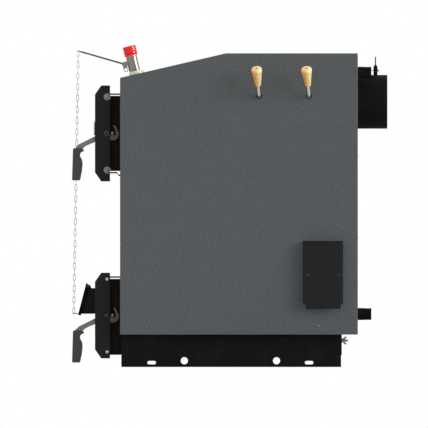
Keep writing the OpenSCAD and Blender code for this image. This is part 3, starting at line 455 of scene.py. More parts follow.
def fan(first, last, count):
    """Evenly spaced angles, both ends among them."""
    return [first + (last - first) * i / (count - 1) for i in range(count)]


def dome(radius, rise, first=0.0, last=QUARTER_TURN, count=6, foot=0.0):
    """(radius, height) points up the side of a dome."""
    return [(radius * math.cos(a), foot + rise * math.sin(a)) for a in fan(first, last, count)]


def rounded_rim(radius, height, size, first, last, count):
    """(radius, height) points round the rim of a turned piece's end."""
    return [
        (radius - size * (1 - math.cos(a)), height - size * (1 - math.sin(a)))
        for a in fan(first, last, count)
    ]


def facing(direction, place=(0, 0, 0)):
    """The frame at a place whose Z axis points along a direction."""
    turn = Vector(direction).to_track_quat("Z", "Y").to_matrix().to_4x4()
    return Matrix.Translation(Vector(place)) @ turn


class Shape:
    """Parts that belong to one piece, each made in its own frame and closed before it joins."""

    def __init__(self):
        self.whole = bmesh.new()

    def join(self, part, place):
        """Closes a part, turns its faces outwards and sets it in its place."""
        bmesh.ops.remove_doubles(part, verts=part.verts, dist=SEAM)
        bmesh.ops.recalc_face_normals(part, faces=part.faces)
        part.transform(place)
        mesh = bpy.data.meshes.new("part")
        part.to_mesh(mesh)
        part.free()
        self.whole.from_mesh(mesh)
        bpy.data.meshes.remove(mesh)

    def lathe(self, profile, place, steps=48, ring=False, press=None):
        """Spins (radius, height) points about the frame's Z axis. A ring's profile closes on
        itself, and press may move a point of the spun part."""
        part = bmesh.new()
        points = [part.verts.new((radius, 0, height)) for radius, height in profile]
        pairs = list(zip(points, points[1:])) + ([(points[-1], points[0])] if ring else [])
        lines = [part.edges.new(pair) for pair in pairs]
        bmesh.ops.spin(
            part, geom=points + lines, cent=(0, 0, 0), axis=(0, 0, 1), angle=math.tau,
            steps=steps, use_merge=True,
        )
        if press:
            for vert in part.verts:
                press(vert)
        self.join(part, place)

    def disc(self, radius, low, high, place, steps):
        """A plain round disc or pin."""
        self.lathe([(0, low), (radius, low), (radius, high), (0, high)], place, steps)

    def plate(self, points, thickness, place, rounding=0.0):
        """A flat outline in the frame's XY plane, pushed up along Z, with its rims rounded."""
        part = bmesh.new()
        face = part.faces.new([part.verts.new((x, y, 0)) for x, y in points])
        pushed = bmesh.ops.extrude_face_region(part, geom=[face])["geom"]
        risen = [item for item in pushed if isinstance(item, bmesh.types.BMVert)]
        bmesh.ops.translate(part, verts=risen, vec=(0, 0, thickness))
        if rounding:
            level = 0.01 * MM
            rims = [e for e in part.edges if abs(e.verts[0].co.z - e.verts[1].co.z) < level]
            round_off(part, rims, rounding, 1)
        self.join(part, place)

    def block(self, low, high, rounding):
        """A box between two corners with rounded edges."""
        part = bmesh.new()
        bmesh.ops.create_cube(part, size=1)
        for vert in part.verts:
            vert.co = [low[i] if vert.co[i] < 0 else high[i] for i in range(3)]
        round_off(part, part.edges[:], rounding)
        self.join(part, Matrix.Identity(4))

    def hexagon(self, radius, low, high, place, rounding=0.0):
        """A six-sided prism about the frame's Z axis."""
        turns = [math.tau * i / 6 for i in range(6)]
        corners = [(radius * math.cos(turn), radius * math.sin(turn)) for turn in turns]
        foot = place @ Matrix.Translation((0, 0, low))
        self.plate(corners, high - low, foot, rounding)

    def button_screw(self, radius, height, place):
        """A domed screw head with a key socket, standing on the frame's XY plane."""
        side = dome(radius, height, 0.25, 1.2, 7)
        hole, floor = radius * 0.32, height * 0.4
        socket = [(hole, side[-1][1]), (hole, floor), (0, floor)]
        self.lathe([(0, 0), (radius, 0)] + side + socket, place, 36)
        self.hexagon(hole * 1.02, 0.1 * height, height * 0.42, place)

    def domed_rivet(self, radius, height, place, steps=24):
        """A low round rivet head, sunk a little so that it seats."""
        sunk = -0.2 * height
        self.lathe([(0, sunk), (radius, sunk)] + dome(radius, height), place, steps)

    def cap_nut(self, radius, height, place):
        """A round washer with a domed cap on it."""
        washer = [(0, -0.4 * MM), (radius, -0.4 * MM), (radius, 0.5 * MM)]
        washer += [(radius - 0.8 * MM, 1.3 * MM), (0, 1.3 * MM)]
        self.lathe(washer, place, 44)
        cap = radius * 0.64
        side = dome(cap, height * 0.65, count=8, foot=height * 0.35)
        self.lathe([(0, 1.1 * MM), (cap, 1.1 * MM)] + side, place, 40)

    def hex_screw(self, radius, height, place):
        """A flanged hexagon head."""
        flange, neck, top = radius * 1.5, radius * 1.1, height * 0.34
        profile = [(0, 0), (flange, 0), (flange, height * 0.2), (neck, top), (0, top)]
        self.lathe(profile, place, 30)
        self.hexagon(radius, height * 0.3, height, place, height * 0.1)

    def piece(self, name, material, body, slot, replaces=()):
        """Makes the object, shades it, sets it on the body it rides on and hides the CAD nodes it replaces."""
        mesh = bpy.data.meshes.new(name)
        shade_edges(self.whole)
        self.whole.to_mesh(mesh)
        self.whole.free()
        piece = bpy.data.objects.new(name, mesh)
        bpy.context.scene.collection.objects.link(piece)
        mesh.materials.append(material)
        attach(piece, body)
        if replaces:
            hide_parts(*replaces)
        return piece


def round_off(part, edges, width, steps=2):
    """Rounds edges with the editor's bevel."""
    bmesh.ops.bevel(
        part, geom=edges, offset=width, offset_type="OFFSET", segments=steps, profile=0.5,
        affect="EDGES", clamp_overlap=True, material=-1,
    )


def shade_edges(whole):
    """Smooth over rounds and barrels, crisp at corners and where a round meets broad ground."""
    for face in whole.faces:
        face.smooth = True
    for edge in whole.edges:
        if len(edge.link_faces) != 2:
            edge.smooth = False
            continue
        small, large = sorted(face.calc_area() for face in edge.link_faces)
        turn = edge.calc_face_angle(0)
        meets_ground = large > BROAD_FACE and small < large / 4 and turn > SLIGHT_TURN
        edge.smooth = not (turn > CRISP_TURN or meets_ground)


def cad_shape(part, node):
    """Fills an empty mesh with a CAD node's shape, its flat faces whole again."""
    part.from_mesh(frame["nodes"][node].data)
    bmesh.ops.remove_doubles(part, verts=part.verts, dist=CAD_SEAM)
    bmesh.ops.dissolve_limit(part, angle_limit=FLAT_TURN, verts=part.verts, edges=part.edges)
    return part


def rounded_copy(name, node, width, material, steps=2, shortest=SHORTEST_EDGE, mend=None):
    """A CAD node's shape, mended if asked, with its long sharp edges rounded, in its stead."""
    shape = Shape()
    part = cad_shape(shape.whole, node)
    if mend:
        mend(part)
    edges = [
        edge for edge in part.edges
        if len(edge.link_faces) == 2
        and edge.calc_face_angle(0) > SHARP_TURN
        and edge.calc_length() > shortest
    ]
    if width and edges:
        round_off(part, edges, width, steps)
    return shape.piece(name, material, NODE_BODY[node], NODE_SLOT[node], [node])


def dress(node, material):
    """Gives a CAD node that stays as it is its finish."""
    piece = frame["nodes"][node]
    for slot in piece.material_slots:
        slot.material = material
    if not piece.material_slots:
        piece.data.materials.append(material)


# ---------- Measures of the CAD nodes ----------

# Steps that find a turned piece's axis
AXIS_STEPS = 40
# A face that looks down at the lid at least this squarely belongs to a piece's foot
SQUARELY_DOWN = 0.7


def middle(node):
    """The middle of a CAD node's box."""
    low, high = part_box(node)
    return (low + high) / 2


def half_width(node):
    """Half of a CAD node's width."""
    low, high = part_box(node)
    return (high.x - low.x) / 2


def extent(node, direction):
    """How far a CAD node's points reach along a direction, least and most."""
    spots = [vert.co.dot(direction) for vert in frame["nodes"][node].data.vertices]
    return min(spots), max(spots)


def long_axis(node):
    """The foot, the upward direction and the length of a turned piece longer than it is wide."""
    spots = {tuple(v.co.to_tuple(6)) for v in frame["nodes"][node].data.vertices}
    points = [Vector(spot) for spot in spots]
    centre = sum(points, Vector()) / len(points)
    spread = Matrix(((0,) * 3,) * 3)
    for point in points:
        off = point - centre
        spread += Matrix([[a * b for b in off] for a in off])
    # Each step brings the direction nearer to the one in which the points spread most
    direction = Z.copy()
    for _ in range(AXIS_STEPS):
        direction = (spread @ direction).normalized()
    reach = [(point - centre).dot(direction) for point in points]
    return centre + min(reach) * direction, direction, max(reach) - min(reach)


def widest(node, foot, axis):
    """The largest distance of a CAD node's surface from an axis."""
    return max((v.co - foot).cross(axis).length for v in frame["nodes"][node].data.vertices)


def round_foot(node):
    """The middle of the round end with which a CAD node stands on the lid."""
    part = cad_shape(bmesh.new(), node)
    under = [face for face in part.faces if face.normal.dot(-LID_NORMAL) > SQUARELY_DOWN]
    place = max(under, key=lambda face: len(face.verts)).calc_center_bounds()
    part.free()
    return place


# ---------- Settings ----------


def colour_setting(name, description, value):
    return FloatVectorProperty(
        name=name, description=description, subtype="COLOR", size=3, default=value, min=0, max=1
    )


def length_setting(name, description, value):
    return FloatProperty(name=name, description=description, default=value, min=0, unit="LENGTH")


def light_setting(name, description, value):
    return FloatProperty(name=name, description=description, default=value, min=0)


class BoilerSheet(PropertyGroup):
    """Sheet metal of the body, casing, doors and cover."""

    casing: colour_setting("Casing", "Powder coat of the casing", linear(87, 90, 92))
    body: colour_setting("Body", "Stove paint of the necks and straps", linear(26, 24, 22))
    base: colour_setting("Base", "Stove paint of the base and body", linear(20, 19, 18))
    doors: colour_setting("Doors", "Powder coat of the doors", linear(33, 32, 34))
    cover: colour_setting("Side cover", "Powder coat of the side cover", linear(35, 34, 36))
    flue: colour_setting("Flue", "Paint of the flue and pipe stubs", linear(20, 19, 19))
    duct: colour_setting("Duct", "Paint of the air duct", linear(34, 33, 31))
    # The flap's paint is the duct's black drawn darker, as painted shade on the flap
    flap: colour_setting("Flap", "Paint of the air flap", linear(17, 16, 16))
    edge: length_setting("Folded edge", "Outside radius of a folded sheet's edge", 1.6 * MM)
    rivet: length_setting("Rivet", "Width of a casing rivet", 5 * MM)
    rivet_front: length_setting("Front rivet", "From the casing's front edge", 94.1 * MM)
    rivet_rear: length_setting("Rear rivet", "From the casing's rear edge", 137.4 * MM)
    rivet_up: length_setting("Rivet height", "From the casing's lower edge", 31.7 * MM)
    rivet_steel: colour_setting("Rivet steel", "Dull steel of the rivets", linear(150, 142, 126))
    screw_in: length_setting("Panel screw", "From the rear panel's upright edges", 12 * MM)
    cover_screw: colour_setting("Cover screw", "Steel of the cover's screws", linear(66, 65, 62))
    cover_front: length_setting("Front screw", "From the cover's front edge", 16.4 * MM)
    cover_rear: length_setting("Rear screw", "From the cover's front edge", 125.8 * MM)
    cover_up: length_setting("Screw height", "From the cover's lower edge", 119.7 * MM)


class BoilerFittings(PropertyGroup):
    """Latches, bolts and draught parts."""

    arm: colour_setting("Latch arm", "Bare steel of the latches", linear(120, 116, 108))
    # The hook colour is painted shade: the arm's steel drawn darker on the hooks
    hook: colour_setting("Hook", "Heat-darkened steel of the hooks", linear(80, 79, 77))
    plate: colour_setting("Plate", "Bare steel of the upper door's plate", linear(228, 224, 215))
    plate_up: length_setting("Plate height", "Height of the bare plate", 49 * MM)
    plate_across: length_setting("Plate width", "Width of the bare plate", 170 * MM)
    plate_down: length_setting("Plate place", "From the door's top to its middle", 151.7 * MM)
    pivot: colour_setting("Pivot", "Steel of the latches' pivots", linear(70, 70, 72))
    hub: length_setting("Pivot ring", "Width of the upper latch's pivot ring", 18.3 * MM)
    button: length_setting("Pivot button", "Width of the lower latch's pivot", 16 * MM)
    catch_steel: colour_setting("Catch steel", "Steel of the catch pins", linear(112, 110, 106))
    catch: length_setting("Catch pin", "Width of a catch pin", 12 * MM)
    catch_out: length_setting("Catch reach", "From the latch's pivot back to the pin", 20.5 * MM)
    catch_up: length_setting("Catch rise", "From the latch's pivot up to the pin", 1.3 * MM)
    grip: colour_setting("Grip", "Plastic of the latch grips", linear(56, 54, 52))
    grip_edge: length_setting("Grip edge", "Radius of the moulded grips' edges", 3.4 * MM)
    grip_pin: colour_setting("Grip rivet", "Blued steel of the grips' rivets", linear(60, 73, 86))
    grip_pin_out: length_setting("Grip rivets", "From the pivot out to them", 105.3 * MM)
    grip_pin_high: length_setting("Upper grip rivet", "From the pivot down to it", 73.6 * MM)
    grip_pin_low: length_setting("Lower grip rivet", "From the pivot down to it", 151.3 * MM)
    blued: colour_setting("Domed steel", "Steel of the domed nuts", linear(124, 123, 119))
    dome: length_setting("Domed nut", "Width of the upper door's domed nuts", 24.7 * MM)
    dome_in: length_setting("Domed nut place", "From the upper door's ends", 40 * MM)
    bolt: length_setting("Cheek bolt", "Width of the lower door's bolt heads", 12.6 * MM)
    bolt_in: length_setting("Cheek bolt place", "From the lower door's ends", 22.6 * MM)
    head_out: length_setting("Heads", "From the doors' rear edge out to the heads", 10.2 * MM)
    zinc: colour_setting("Zinc", "Plating of bolts and chain", linear(190, 190, 182))
    cast_zinc: colour_setting("Cast zinc", "Metal of the wing nuts", linear(214, 212, 198))
    liner: colour_setting("Liner", "Board behind the doors", linear(186, 176, 158))
    rope: colour_setting("Rope", "Sealing rope", linear(214, 208, 190))
    rope_edge: length_setting("Rope edge", "Radius of the sealing ropes' edges", 2.6 * MM)
    iron: colour_setting("Iron", "Cast grate and baffle", linear(66, 62, 58))
    damper: colour_setting("Damper", "Sooty iron of the flue damper", linear(50, 48, 46))
    collar: length_setting("Damper collar", "Width of the collar round the spindle", 14 * MM)
    thumb_down: length_setting("Thumb screw", "From the top of the damper's collar", 15.3 * MM)
    stub: length_setting("Pipe stub", "Outside width of a pipe stub", 42.4 * MM)
    stub_wall: length_setting("Pipe wall", "Wall of a pipe stub", 3.2 * MM)
    thread: length_setting("Pipe thread", "Pitch of the thread on a pipe stub", 2.3 * MM)


class BoilerControls(PropertyGroup):
    """Draught regulator, thermometer and side levers."""

    knob: colour_setting("Knob", "Red plastic of the regulator's knob", linear(255, 30, 26))
    flutes: IntProperty(name="Flutes", description="Grip flutes round the knob", default=18, min=6)
    flute: length_setting("Flute depth", "Depth of the knob's grip flutes", 0.9 * MM)
    regulator: colour_setting("Regulator", "Nickel of the body", linear(132, 129, 121))
    body_height: length_setting("Regulator height", "From the lid to the knob", 66.8 * MM)
    lever: colour_setting("Lever", "Dark steel of the regulator's lever", linear(96, 94, 89))
    foot: colour_setting("Foot", "Dark ring at the regulator's foot", linear(52, 52, 54))
    dial_case: colour_setting("Dial case", "The thermometer's case", linear(255, 255, 228))
    ticks: IntProperty(name="Ticks", description="Marks round the dial", default=25, min=2)
    rod: colour_setting("Lever rod", "Steel of the side levers", linear(222, 220, 212))
    wood_light: colour_setting("Light wood", "Pale grain of the handles", linear(255, 206, 118))
    # The pale wood is the colour of a painted highlight on one side and at the end of each handle
    wood_pale: colour_setting("Pale wood", "Sapwood and end grain", linear(255, 244, 182))
    wood_dark: colour_setting("Dark wood", "Dark grain of the handles", linear(224, 138, 60))
    wood_neck: length_setting("Handle neck", "Width of a handle at the rod", 21 * MM)
    wood_round: length_setting("Handle round", "Radius of a handle's thick end", 8 * MM)
    screw_hole: length_setting("Screw hole", "Width of the hole in a handle's end", 7 * MM)


class BoilerStudio(PropertyGroup):
    """Floor, lights and camera."""

    floor: colour_setting("Floor", "Pale floor", (0.95, 0.95, 0.95))
    floor_size: length_setting("Floor size", "Radius of the floor", 4.0)
    ambient: light_setting("Sky", "Strength of the even light", 0.41)
    key: light_setting("Key", "Strength of the key light", 1.75)
    front: light_setting("Front", "Strength of the broad front light", 0.74)
    fill: light_setting("Fill", "Strength of the fill light", 1.2)
    side: light_setting("Side", "Brightness of the side softbox", 22.0)
    across: length_setting("Picture width", "Width of the square view", 1.5108)
    aim: FloatVectorProperty(
        name="Aim", description="Point in the middle of the view", subtype="TRANSLATION",
        default=(0, 0.3273, 0.5402),
    )


# ---------- Pieces ----------

# How far the doors' cheeks lie inside the doors' right side
CHEEK_DEPTH = 2 * MM


def sheet_of(context):
    return context.scene.boiler_sheet


def fittings_of(context):
    return context.scene.boiler_fittings


def controls_of(context):
    return context.scene.boiler_controls


def casing_coat(context):
    return finish("casing_coat", powder_coat, sheet_of(context).casing)


def bare_zinc(context):
    return finish("zinc_plate", brushed, fittings_of(context).zinc, 0.38)


def pivot_steel(context):
    return finish("pivot_steel", brushed, fittings_of(context).pivot, 0.5)


class BOILER_OT_body(Operator):
    """Welded body, base frame, baffle and grate"""

    bl_idname = "boiler.body"
    bl_label = "Body and base"

    def execute(self, context):
        sheet, fittings = sheet_of(context), fittings_of(context)
        base = finish("base_paint", stove_paint, sheet.base, 0.4)
        body = finish("body_paint", stove_paint, sheet.body)
        iron = finish("cast_iron", raw_casting, fittings.iron)
        for node in ("base_rails", "base_crossbars"):
            rounded_copy(node + "_folded", node, sheet.edge, base)
        for side in ("sides", "back", "front", "top", "floor"):
            dress("jacket_" + side, base)
        for node in ("upper_neck", "lower_neck"):
            rounded_copy(node + "_welded", node, sheet.edge, body)
        rounded_copy("hinge_straps_bent", "hinge_straps", sheet.edge / 2, body)
        for node in ("firebox_baffle", "grate"):
            dress(node, iron)
        return {"FINISHED"}


class BOILER_OT_casing(Operator):
    """Powder-coated casing panels and their rivets"""

    bl_idname = "boiler.casing"
    bl_label = "Casing"

    def execute(self, context):
        sheet, coat = sheet_of(context), casing_coat(context)
        for side in ("right", "left", "top", "back", "front"):
            rounded_copy("casing_" + side + "_folded", "casing_" + side, sheet.edge, coat)
        low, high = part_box("casing_right")
        rivets = Shape()
        for y in (low.y + sheet.rivet_front, high.y - sheet.rivet_rear):
            place = facing(X, (high.x, y, low.z + sheet.rivet_up))
            rivets.domed_rivet(sheet.rivet / 2, sheet.rivet / 5, place)
        steel = finish("rivet_steel", brushed, sheet.rivet_steel, 0.5)
        rivets.piece("casing_rivets", steel, "boiler", "casing_grey")
        return {"FINISHED"}


class BOILER_OT_doors(Operator):
    """Both doors with their board liners and sealing ropes"""

    bl_idname = "boiler.doors"
    bl_label = "Doors"

    def execute(self, context):
        sheet, fittings = sheet_of(context), fittings_of(context)
        coat = finish("door_coat", powder_coat, sheet.doors, rough=0.5, worn=0.3)
        board = finish("liner_board", fibre_board, fittings.liner)
        rope = finish("glass_rope", braided_rope, fittings.rope)
        for level in ("upper", "lower"):
            rounded_copy(level + "_door_pressed", level + "_door", sheet.edge, coat)
            rounded_copy(level + "_liner_board", level + "_door_liner", sheet.edge, board)
            rounded_copy(level + "_rope_round", level + "_door_rope", fittings.rope_edge, rope, 3)
        return {"FINISHED"}


class BOILER_OT_door_fixings(Operator):
    """Bolt heads, pivots and catches of the doors, and the bare plate on the upper one"""

    bl_idname = "boiler.door_fixings"
    bl_label = "Door fixings"

    def execute(self, context):
        fittings = fittings_of(context)
        blued = finish("blued_steel", brushed, fittings.blued, 0.36)
        self.heads("upper", Shape.cap_nut, fittings.dome, 0.3, fittings.dome_in, blued, fittings)
        self.neck_studs(fittings, blued)
        self.pivot_and_catch("upper", self.ring, fittings.hub, context)
        screw, zinc = Shape.button_screw, bare_zinc(context)
        self.heads("lower", screw, fittings.bolt, 0.32, fittings.bolt_in, zinc, fittings)
        self.pivot_and_catch("lower", self.button, fittings.button, context)
        self.bare_plate(fittings)
        return {"FINISHED"}

    def heads(self, level, head, width, rise, inset, metal, fittings):
        """Two heads on a door's cheek, the inset from its ends."""
        low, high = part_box(level + "_door")
        heads = Shape()
        for z in (low.z + inset, high.z - inset):
            place = facing(X, (high.x - CHEEK_DEPTH, high.y - fittings.head_out, z))
            head(heads, width / 2, width * rise, place)
        heads.piece(level + "_door_heads", metal, level + "_door", "door_charcoal")

    def neck_studs(self, fittings, metal):
        """Studs on the upper neck, half behind the door's cheek."""
        low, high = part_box("upper_door")
        neck_out, cover, radius, rise = 9.6 * MM, 2.8 * MM, 7.5 * MM, 3 * MM
        x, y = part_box("jacket_front")[1].x + neck_out, high.y - cover
        inset = fittings.dome_in + 4 * MM
        studs = Shape()
        for z in (low.z + inset, high.z - inset):
            studs.domed_rivet(radius, rise, facing(X, (x, y, z)), 32)
        studs.piece("neck_studs", metal, "boiler", "boiler_black")

    def pivot_and_catch(self, level, head, width, context):
        """The end of a latch's pivot on the door, and of its catch pin on the neck."""
        fittings, pivot = fittings_of(context), joint_place(level + "_latch_lift")
        hub, catch = Shape(), Shape()
        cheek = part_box(level + "_door")[1].x - CHEEK_DEPTH
        head(hub, width / 2, facing(X, (cheek, pivot.y, pivot.z)))
        hub.piece(level + "_pivot_ring", pivot_steel(context), level + "_door", "door_charcoal")
        place = pivot + Vector((0, fittings.catch_out, fittings.catch_up))
        place.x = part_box(level + "_neck")[1].x
        catch.domed_rivet(fittings.catch / 2, fittings.catch * 0.15, facing(X, place), 32)
        steel = finish("catch_steel", brushed, fittings.catch_steel, 0.3)
        catch.piece(level + "_catch_end", steel, "boiler", "boiler_black")

    def ring(self, hub, rim, place):
        """A raised ring round a hollow pivot."""
        eye, top = 3.6 * MM, 2.4 * MM
        profile = [(eye, 0), (rim, 0), (rim, top - 0.8 * MM), (rim - 0.8 * MM, top)]
        profile += [(eye + 1.2 * MM, top), (eye, top - 1 * MM)]
        hub.lathe(profile, place, 40, ring=True)

    def button(self, hub, rim, place):
        """A plain domed pivot."""
        hub.domed_rivet(rim, rim * 0.3, place, 36)

    def bare_plate(self, fittings):
        """A blank plate that stands on the upper door."""
        low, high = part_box("upper_door")
        front, gap, rounding = 4.8 * MM, 0.05 * MM, 1.4 * MM
        x, z = middle("upper_door").x, high.z - fittings.plate_down
        across, up = fittings.plate_across / 2, fittings.plate_up / 2
        near, far = (x - across, low.y - front, z - up), (x + across, low.y - gap, z + up)
        plate = Shape()
        plate.block(near, far, rounding)
        bare = finish("plate_steel", brushed, fittings.plate, 0.5, "X", dirt=0.1)
        plate.piece("bare_plate", bare, "upper_door", "door_charcoal")


class BOILER_OT_latches(Operator):
    """Hook latches with their moulded grips"""

    bl_idname = "boiler.latches"
    bl_label = "Latches"

    def execute(self, context):
        fittings = fittings_of(context)
        bend = joint_place("upper_latch_lift").y
        # The span over which painted shade darkens the bar towards the hook
        hook_shade_span = (bend - 30 * MM, bend + 4 * MM)
        steel = finish("latch_bar", forged_latch, fittings.arm, fittings.hook, *hook_shade_span)
        plastic = finish("grip_plastic", moulded, fittings.grip)
        pin = finish("grip_rivet", brushed, fittings.grip_pin, 0.5)
        for level in ("upper", "lower"):
            latch, grip = level + "_latch", level + "_grip"
            pivot = joint_place(latch + "_lift")
            rounded_copy(latch + "_cut", latch, 0.7 * MM, steel, shortest=FINE_EDGE,
                         mend=lambda part: self.seat_arm(part, pivot))
            rounded_copy(grip + "_moulded", grip, fittings.grip_edge, plastic, 4, FINE_EDGE)
            low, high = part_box(grip)
            y, sunk = pivot.y - fittings.grip_pin_out, 0.9 * MM
            rivets = Shape()
            for drop in (fittings.grip_pin_high, fittings.grip_pin_low):
                for side, x in ((1, high.x), (-1, low.x)):
                    place = facing(side * X, (x - side * sunk, y, pivot.z - drop))
                    rivets.domed_rivet(5 * MM, 1.3 * MM, place, 30)
            rivets.piece(grip + "_rivets", pin, latch, "latch_steel")
        return {"FINISHED"}

    def seat_arm(self, part, pivot):
        """Straightens the arm's underside at its bend, and lets its end down into the grip."""
        bend, near, notch = Vector((-44.5 * MM, -27.1 * MM)), 1 * MM, 4.8 * MM
        end, let_down = -50 * MM, 1.5 * MM
        for vert in part.verts:
            out = (vert.co - pivot).yz
            if (out - bend).length < near:
                vert.co.z -= notch
            elif out.y < end:
                vert.co.z -= let_down


class BOILER_OT_draught(Operator):
    """Air duct, its flap and the chain that lifts it"""

    bl_idname = "boiler.draught"
    bl_label = "Air duct and flap"

    def execute(self, context):
        sheet = sheet_of(context)
        duct = finish("duct_paint", stove_paint, sheet.duct, 0.6)
        # The flap's darker paint is painted shade
        flap = finish("flap_paint", stove_paint, sheet.flap, 0.6)
        rounded_copy("air_duct_folded", "air_duct", sheet.edge / 2, duct)
        rounded_copy("air_flap_folded", "air_flap", sheet.edge / 2, flap)
        pin, sunk = joint_place("air_flap_lift"), 0.4 * MM
        low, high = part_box("air_duct")
        ends = Shape()
        for side, x in ((1, high.x), (-1, low.x)):
            place = facing(side * X, (x - side * sunk, pin.y, pin.z))
            ends.cap_nut(5.5 * MM, 2.4 * MM, place)
        ends.piece("flap_pin_ends", pivot_steel(context), "lower_door", "boiler_black")
        dress("regulator_chain", bare_zinc(context))
        return {"FINISHED"}


class BOILER_OT_regulator(Operator):
    """Draught regulator with its red knob and lever"""

    bl_idname = "boiler.regulator"
    bl_label = "Draught regulator"

    def execute(self, context):
        controls = controls_of(context)
        nickel = finish("nickel", brushed, controls.regulator, 0.24, dirt=0.12, relief=0.15)
        rounded_copy("regulator_body_turned", "regulator_body", 0.6 * MM, nickel,
                     shortest=FINE_EDGE)
        dark = finish("lever_steel", brushed, controls.lever, 0.34, "Y")
        rounded_copy("regulator_lever_bar", "regulator_lever", 0, dark)
        knob_foot = round_foot("regulator_knob")
        self.foot_ring(controls, knob_foot - controls.body_height * LID_NORMAL)
        self.knob(controls, knob_foot)
        return {"FINISHED"}

    def foot_ring(self, controls, on_lid):
        """A dark nut round the body where it enters the lid."""
        body = half_width("regulator_body")
        inner, outer, top = body - 3 * MM, body + 0.2 * MM, 8.2 * MM
        profile = [(inner, 0.1 * MM), (outer, 0.1 * MM), (outer, top - 1 * MM)]
        profile += [(outer - 1 * MM, top), (inner, top)]
        foot = Shape()
        foot.lathe(profile, facing(LID_NORMAL, on_lid), ring=True)
        iron = finish("foot_iron", brushed, controls.foot, 0.45)
        foot.piece("regulator_foot_ring", iron, "boiler", "regulator_metal")

    def knob(self, controls, knob_foot):
        """A fluted knob with a groove round its skirt and a shallow dish in its top."""
        least, most = extent("regulator_knob", LID_NORMAL)
        height, radius = most - least, half_width("regulator_knob")
        groove = radius - 1.2 * MM
        profile = [(0, 0), (radius - 1 * MM, 0), (radius, 1 * MM), (radius, 5 * MM)]
        profile += [(groove, 6.4 * MM), (groove, 7 * MM), (radius, 8.5 * MM)]
        profile += [(radius, height - 4 * MM)]
        profile += rounded_rim(radius, height, 4 * MM, 0.1, 1.5, 7)
        profile += [(radius - 8 * MM, height), (radius - 9 * MM, height - 1 * MM)]
        profile += [(0, height - 1 * MM)]

        def flute(vert):
            if vert.co.z > height - 3 * MM and vert.co.xy.length > radius - 5 * MM:
                turn = math.atan2(vert.co.y, vert.co.x) * controls.flutes
                dip = controls.flute * max(0, math.cos(turn)) ** 2
                vert.co.xy *= 1 - dip / vert.co.xy.length

        knob, place = Shape(), facing(LID_NORMAL, knob_foot)
        knob.lathe(profile, place, controls.flutes * 8, press=flute)
        red = finish("red_knob", lacquer_red, controls.knob)
        knob.piece("knob_fluted", red, "regulator_knob", "knob_red", ["regulator_knob"])


class BOILER_OT_thermometer(Operator):
    """Round thermometer let into the lid"""

    bl_idname = "boiler.thermometer"
    bl_label = "Thermometer"

    def execute(self, context):
        controls = controls_of(context)
        least, most = extent("thermometer", LID_NORMAL)
        height, radius = most - least, half_width("thermometer")
        rim = radius - 3.5 * MM
        place = facing(LID_NORMAL, round_foot("thermometer"))
        cream = finish("cream_case", pale_case, controls.dial_case)
        case = [(0, 0), (radius - 0.5 * MM, 0), (radius, 0.6 * MM), (radius, height - 2.4 * MM)]
        case += rounded_rim(radius, height, 2 * MM, 0.2, 1.45, 6)
        case += [(rim + 0.6 * MM, height), (rim, height - 0.6 * MM)]
        floor, face = height - 3 * MM, height - 2.5 * MM
        case += [(rim, floor), (0, floor)]
        shape = Shape()
        shape.lathe(case, place, 72)
        shape.piece("thermometer_case", cream, "boiler", "thermometer_white", ["thermometer"])
        paper = finish("dial_paper", printed_dial, linear(236, 236, 230), linear(246, 246, 240))
        dial = Shape()
        dial.disc(rim - 0.2 * MM, floor, face, place, 72)
        dial.piece("thermometer_dial", paper, "boiler", "thermometer_white")
        self.marks(controls.ticks, rim, face, place)
        glass, low = rim - 0.1 * MM, height - 1 * MM
        window = Shape()
        window.lathe([(0, low), (glass, low), (glass, low + 0.5 * MM), (0, low + 0.6 * MM)],
                     place, 72)
        clear = finish("window", clear_cover)
        window.piece("thermometer_window", clear, "boiler", "thermometer_white")
        return {"FINISHED"}

    def marks(self, ticks, rim, face, place):
        """Ticks over three quarters of the dial, and a hand with its hub."""
        first, sweep, reading = math.radians(225), math.radians(270), math.radians(160)
        marks, outer, half = Shape(), rim - 2 * MM, 0.25 * MM
        for i in range(ticks):
            turn = Matrix.Rotation(first - i * sweep / (ticks - 1), 4, "Z")
            inner = outer - (3.6 if i % 4 == 0 else 2) * MM
            tick = [(inner, -half), (outer, -half), (outer, half), (inner, half)]
            marks.plate(tick, 0.15 * MM, place @ turn @ Matrix.Translation((0, 0, face)))
        turn = Matrix.Rotation(reading, 4, "Z")
        tail, tip = (-5 * MM, 0.7 * MM), (rim - 5 * MM, 0.15 * MM)
        hand = [(tail[0], -tail[1]), (tip[0], -tip[1]), tip, tail]
        above = Matrix.Translation((0, 0, face + 0.3 * MM))
        marks.plate(hand, 0.3 * MM, place @ turn @ above)
        hub = [(0, face), (2 * MM, face), (2 * MM, face + 0.8 * MM)]
        hub += [(1.4 * MM, face + 1.2 * MM), (0, face + 1.2 * MM)]
        marks.lathe(hub, place, 24)
        ink = finish("dial_ink", printed_dial, linear(20, 20, 22), linear(30, 30, 32))
        marks.piece("thermometer_marks", ink, "boiler", "thermometer_white")


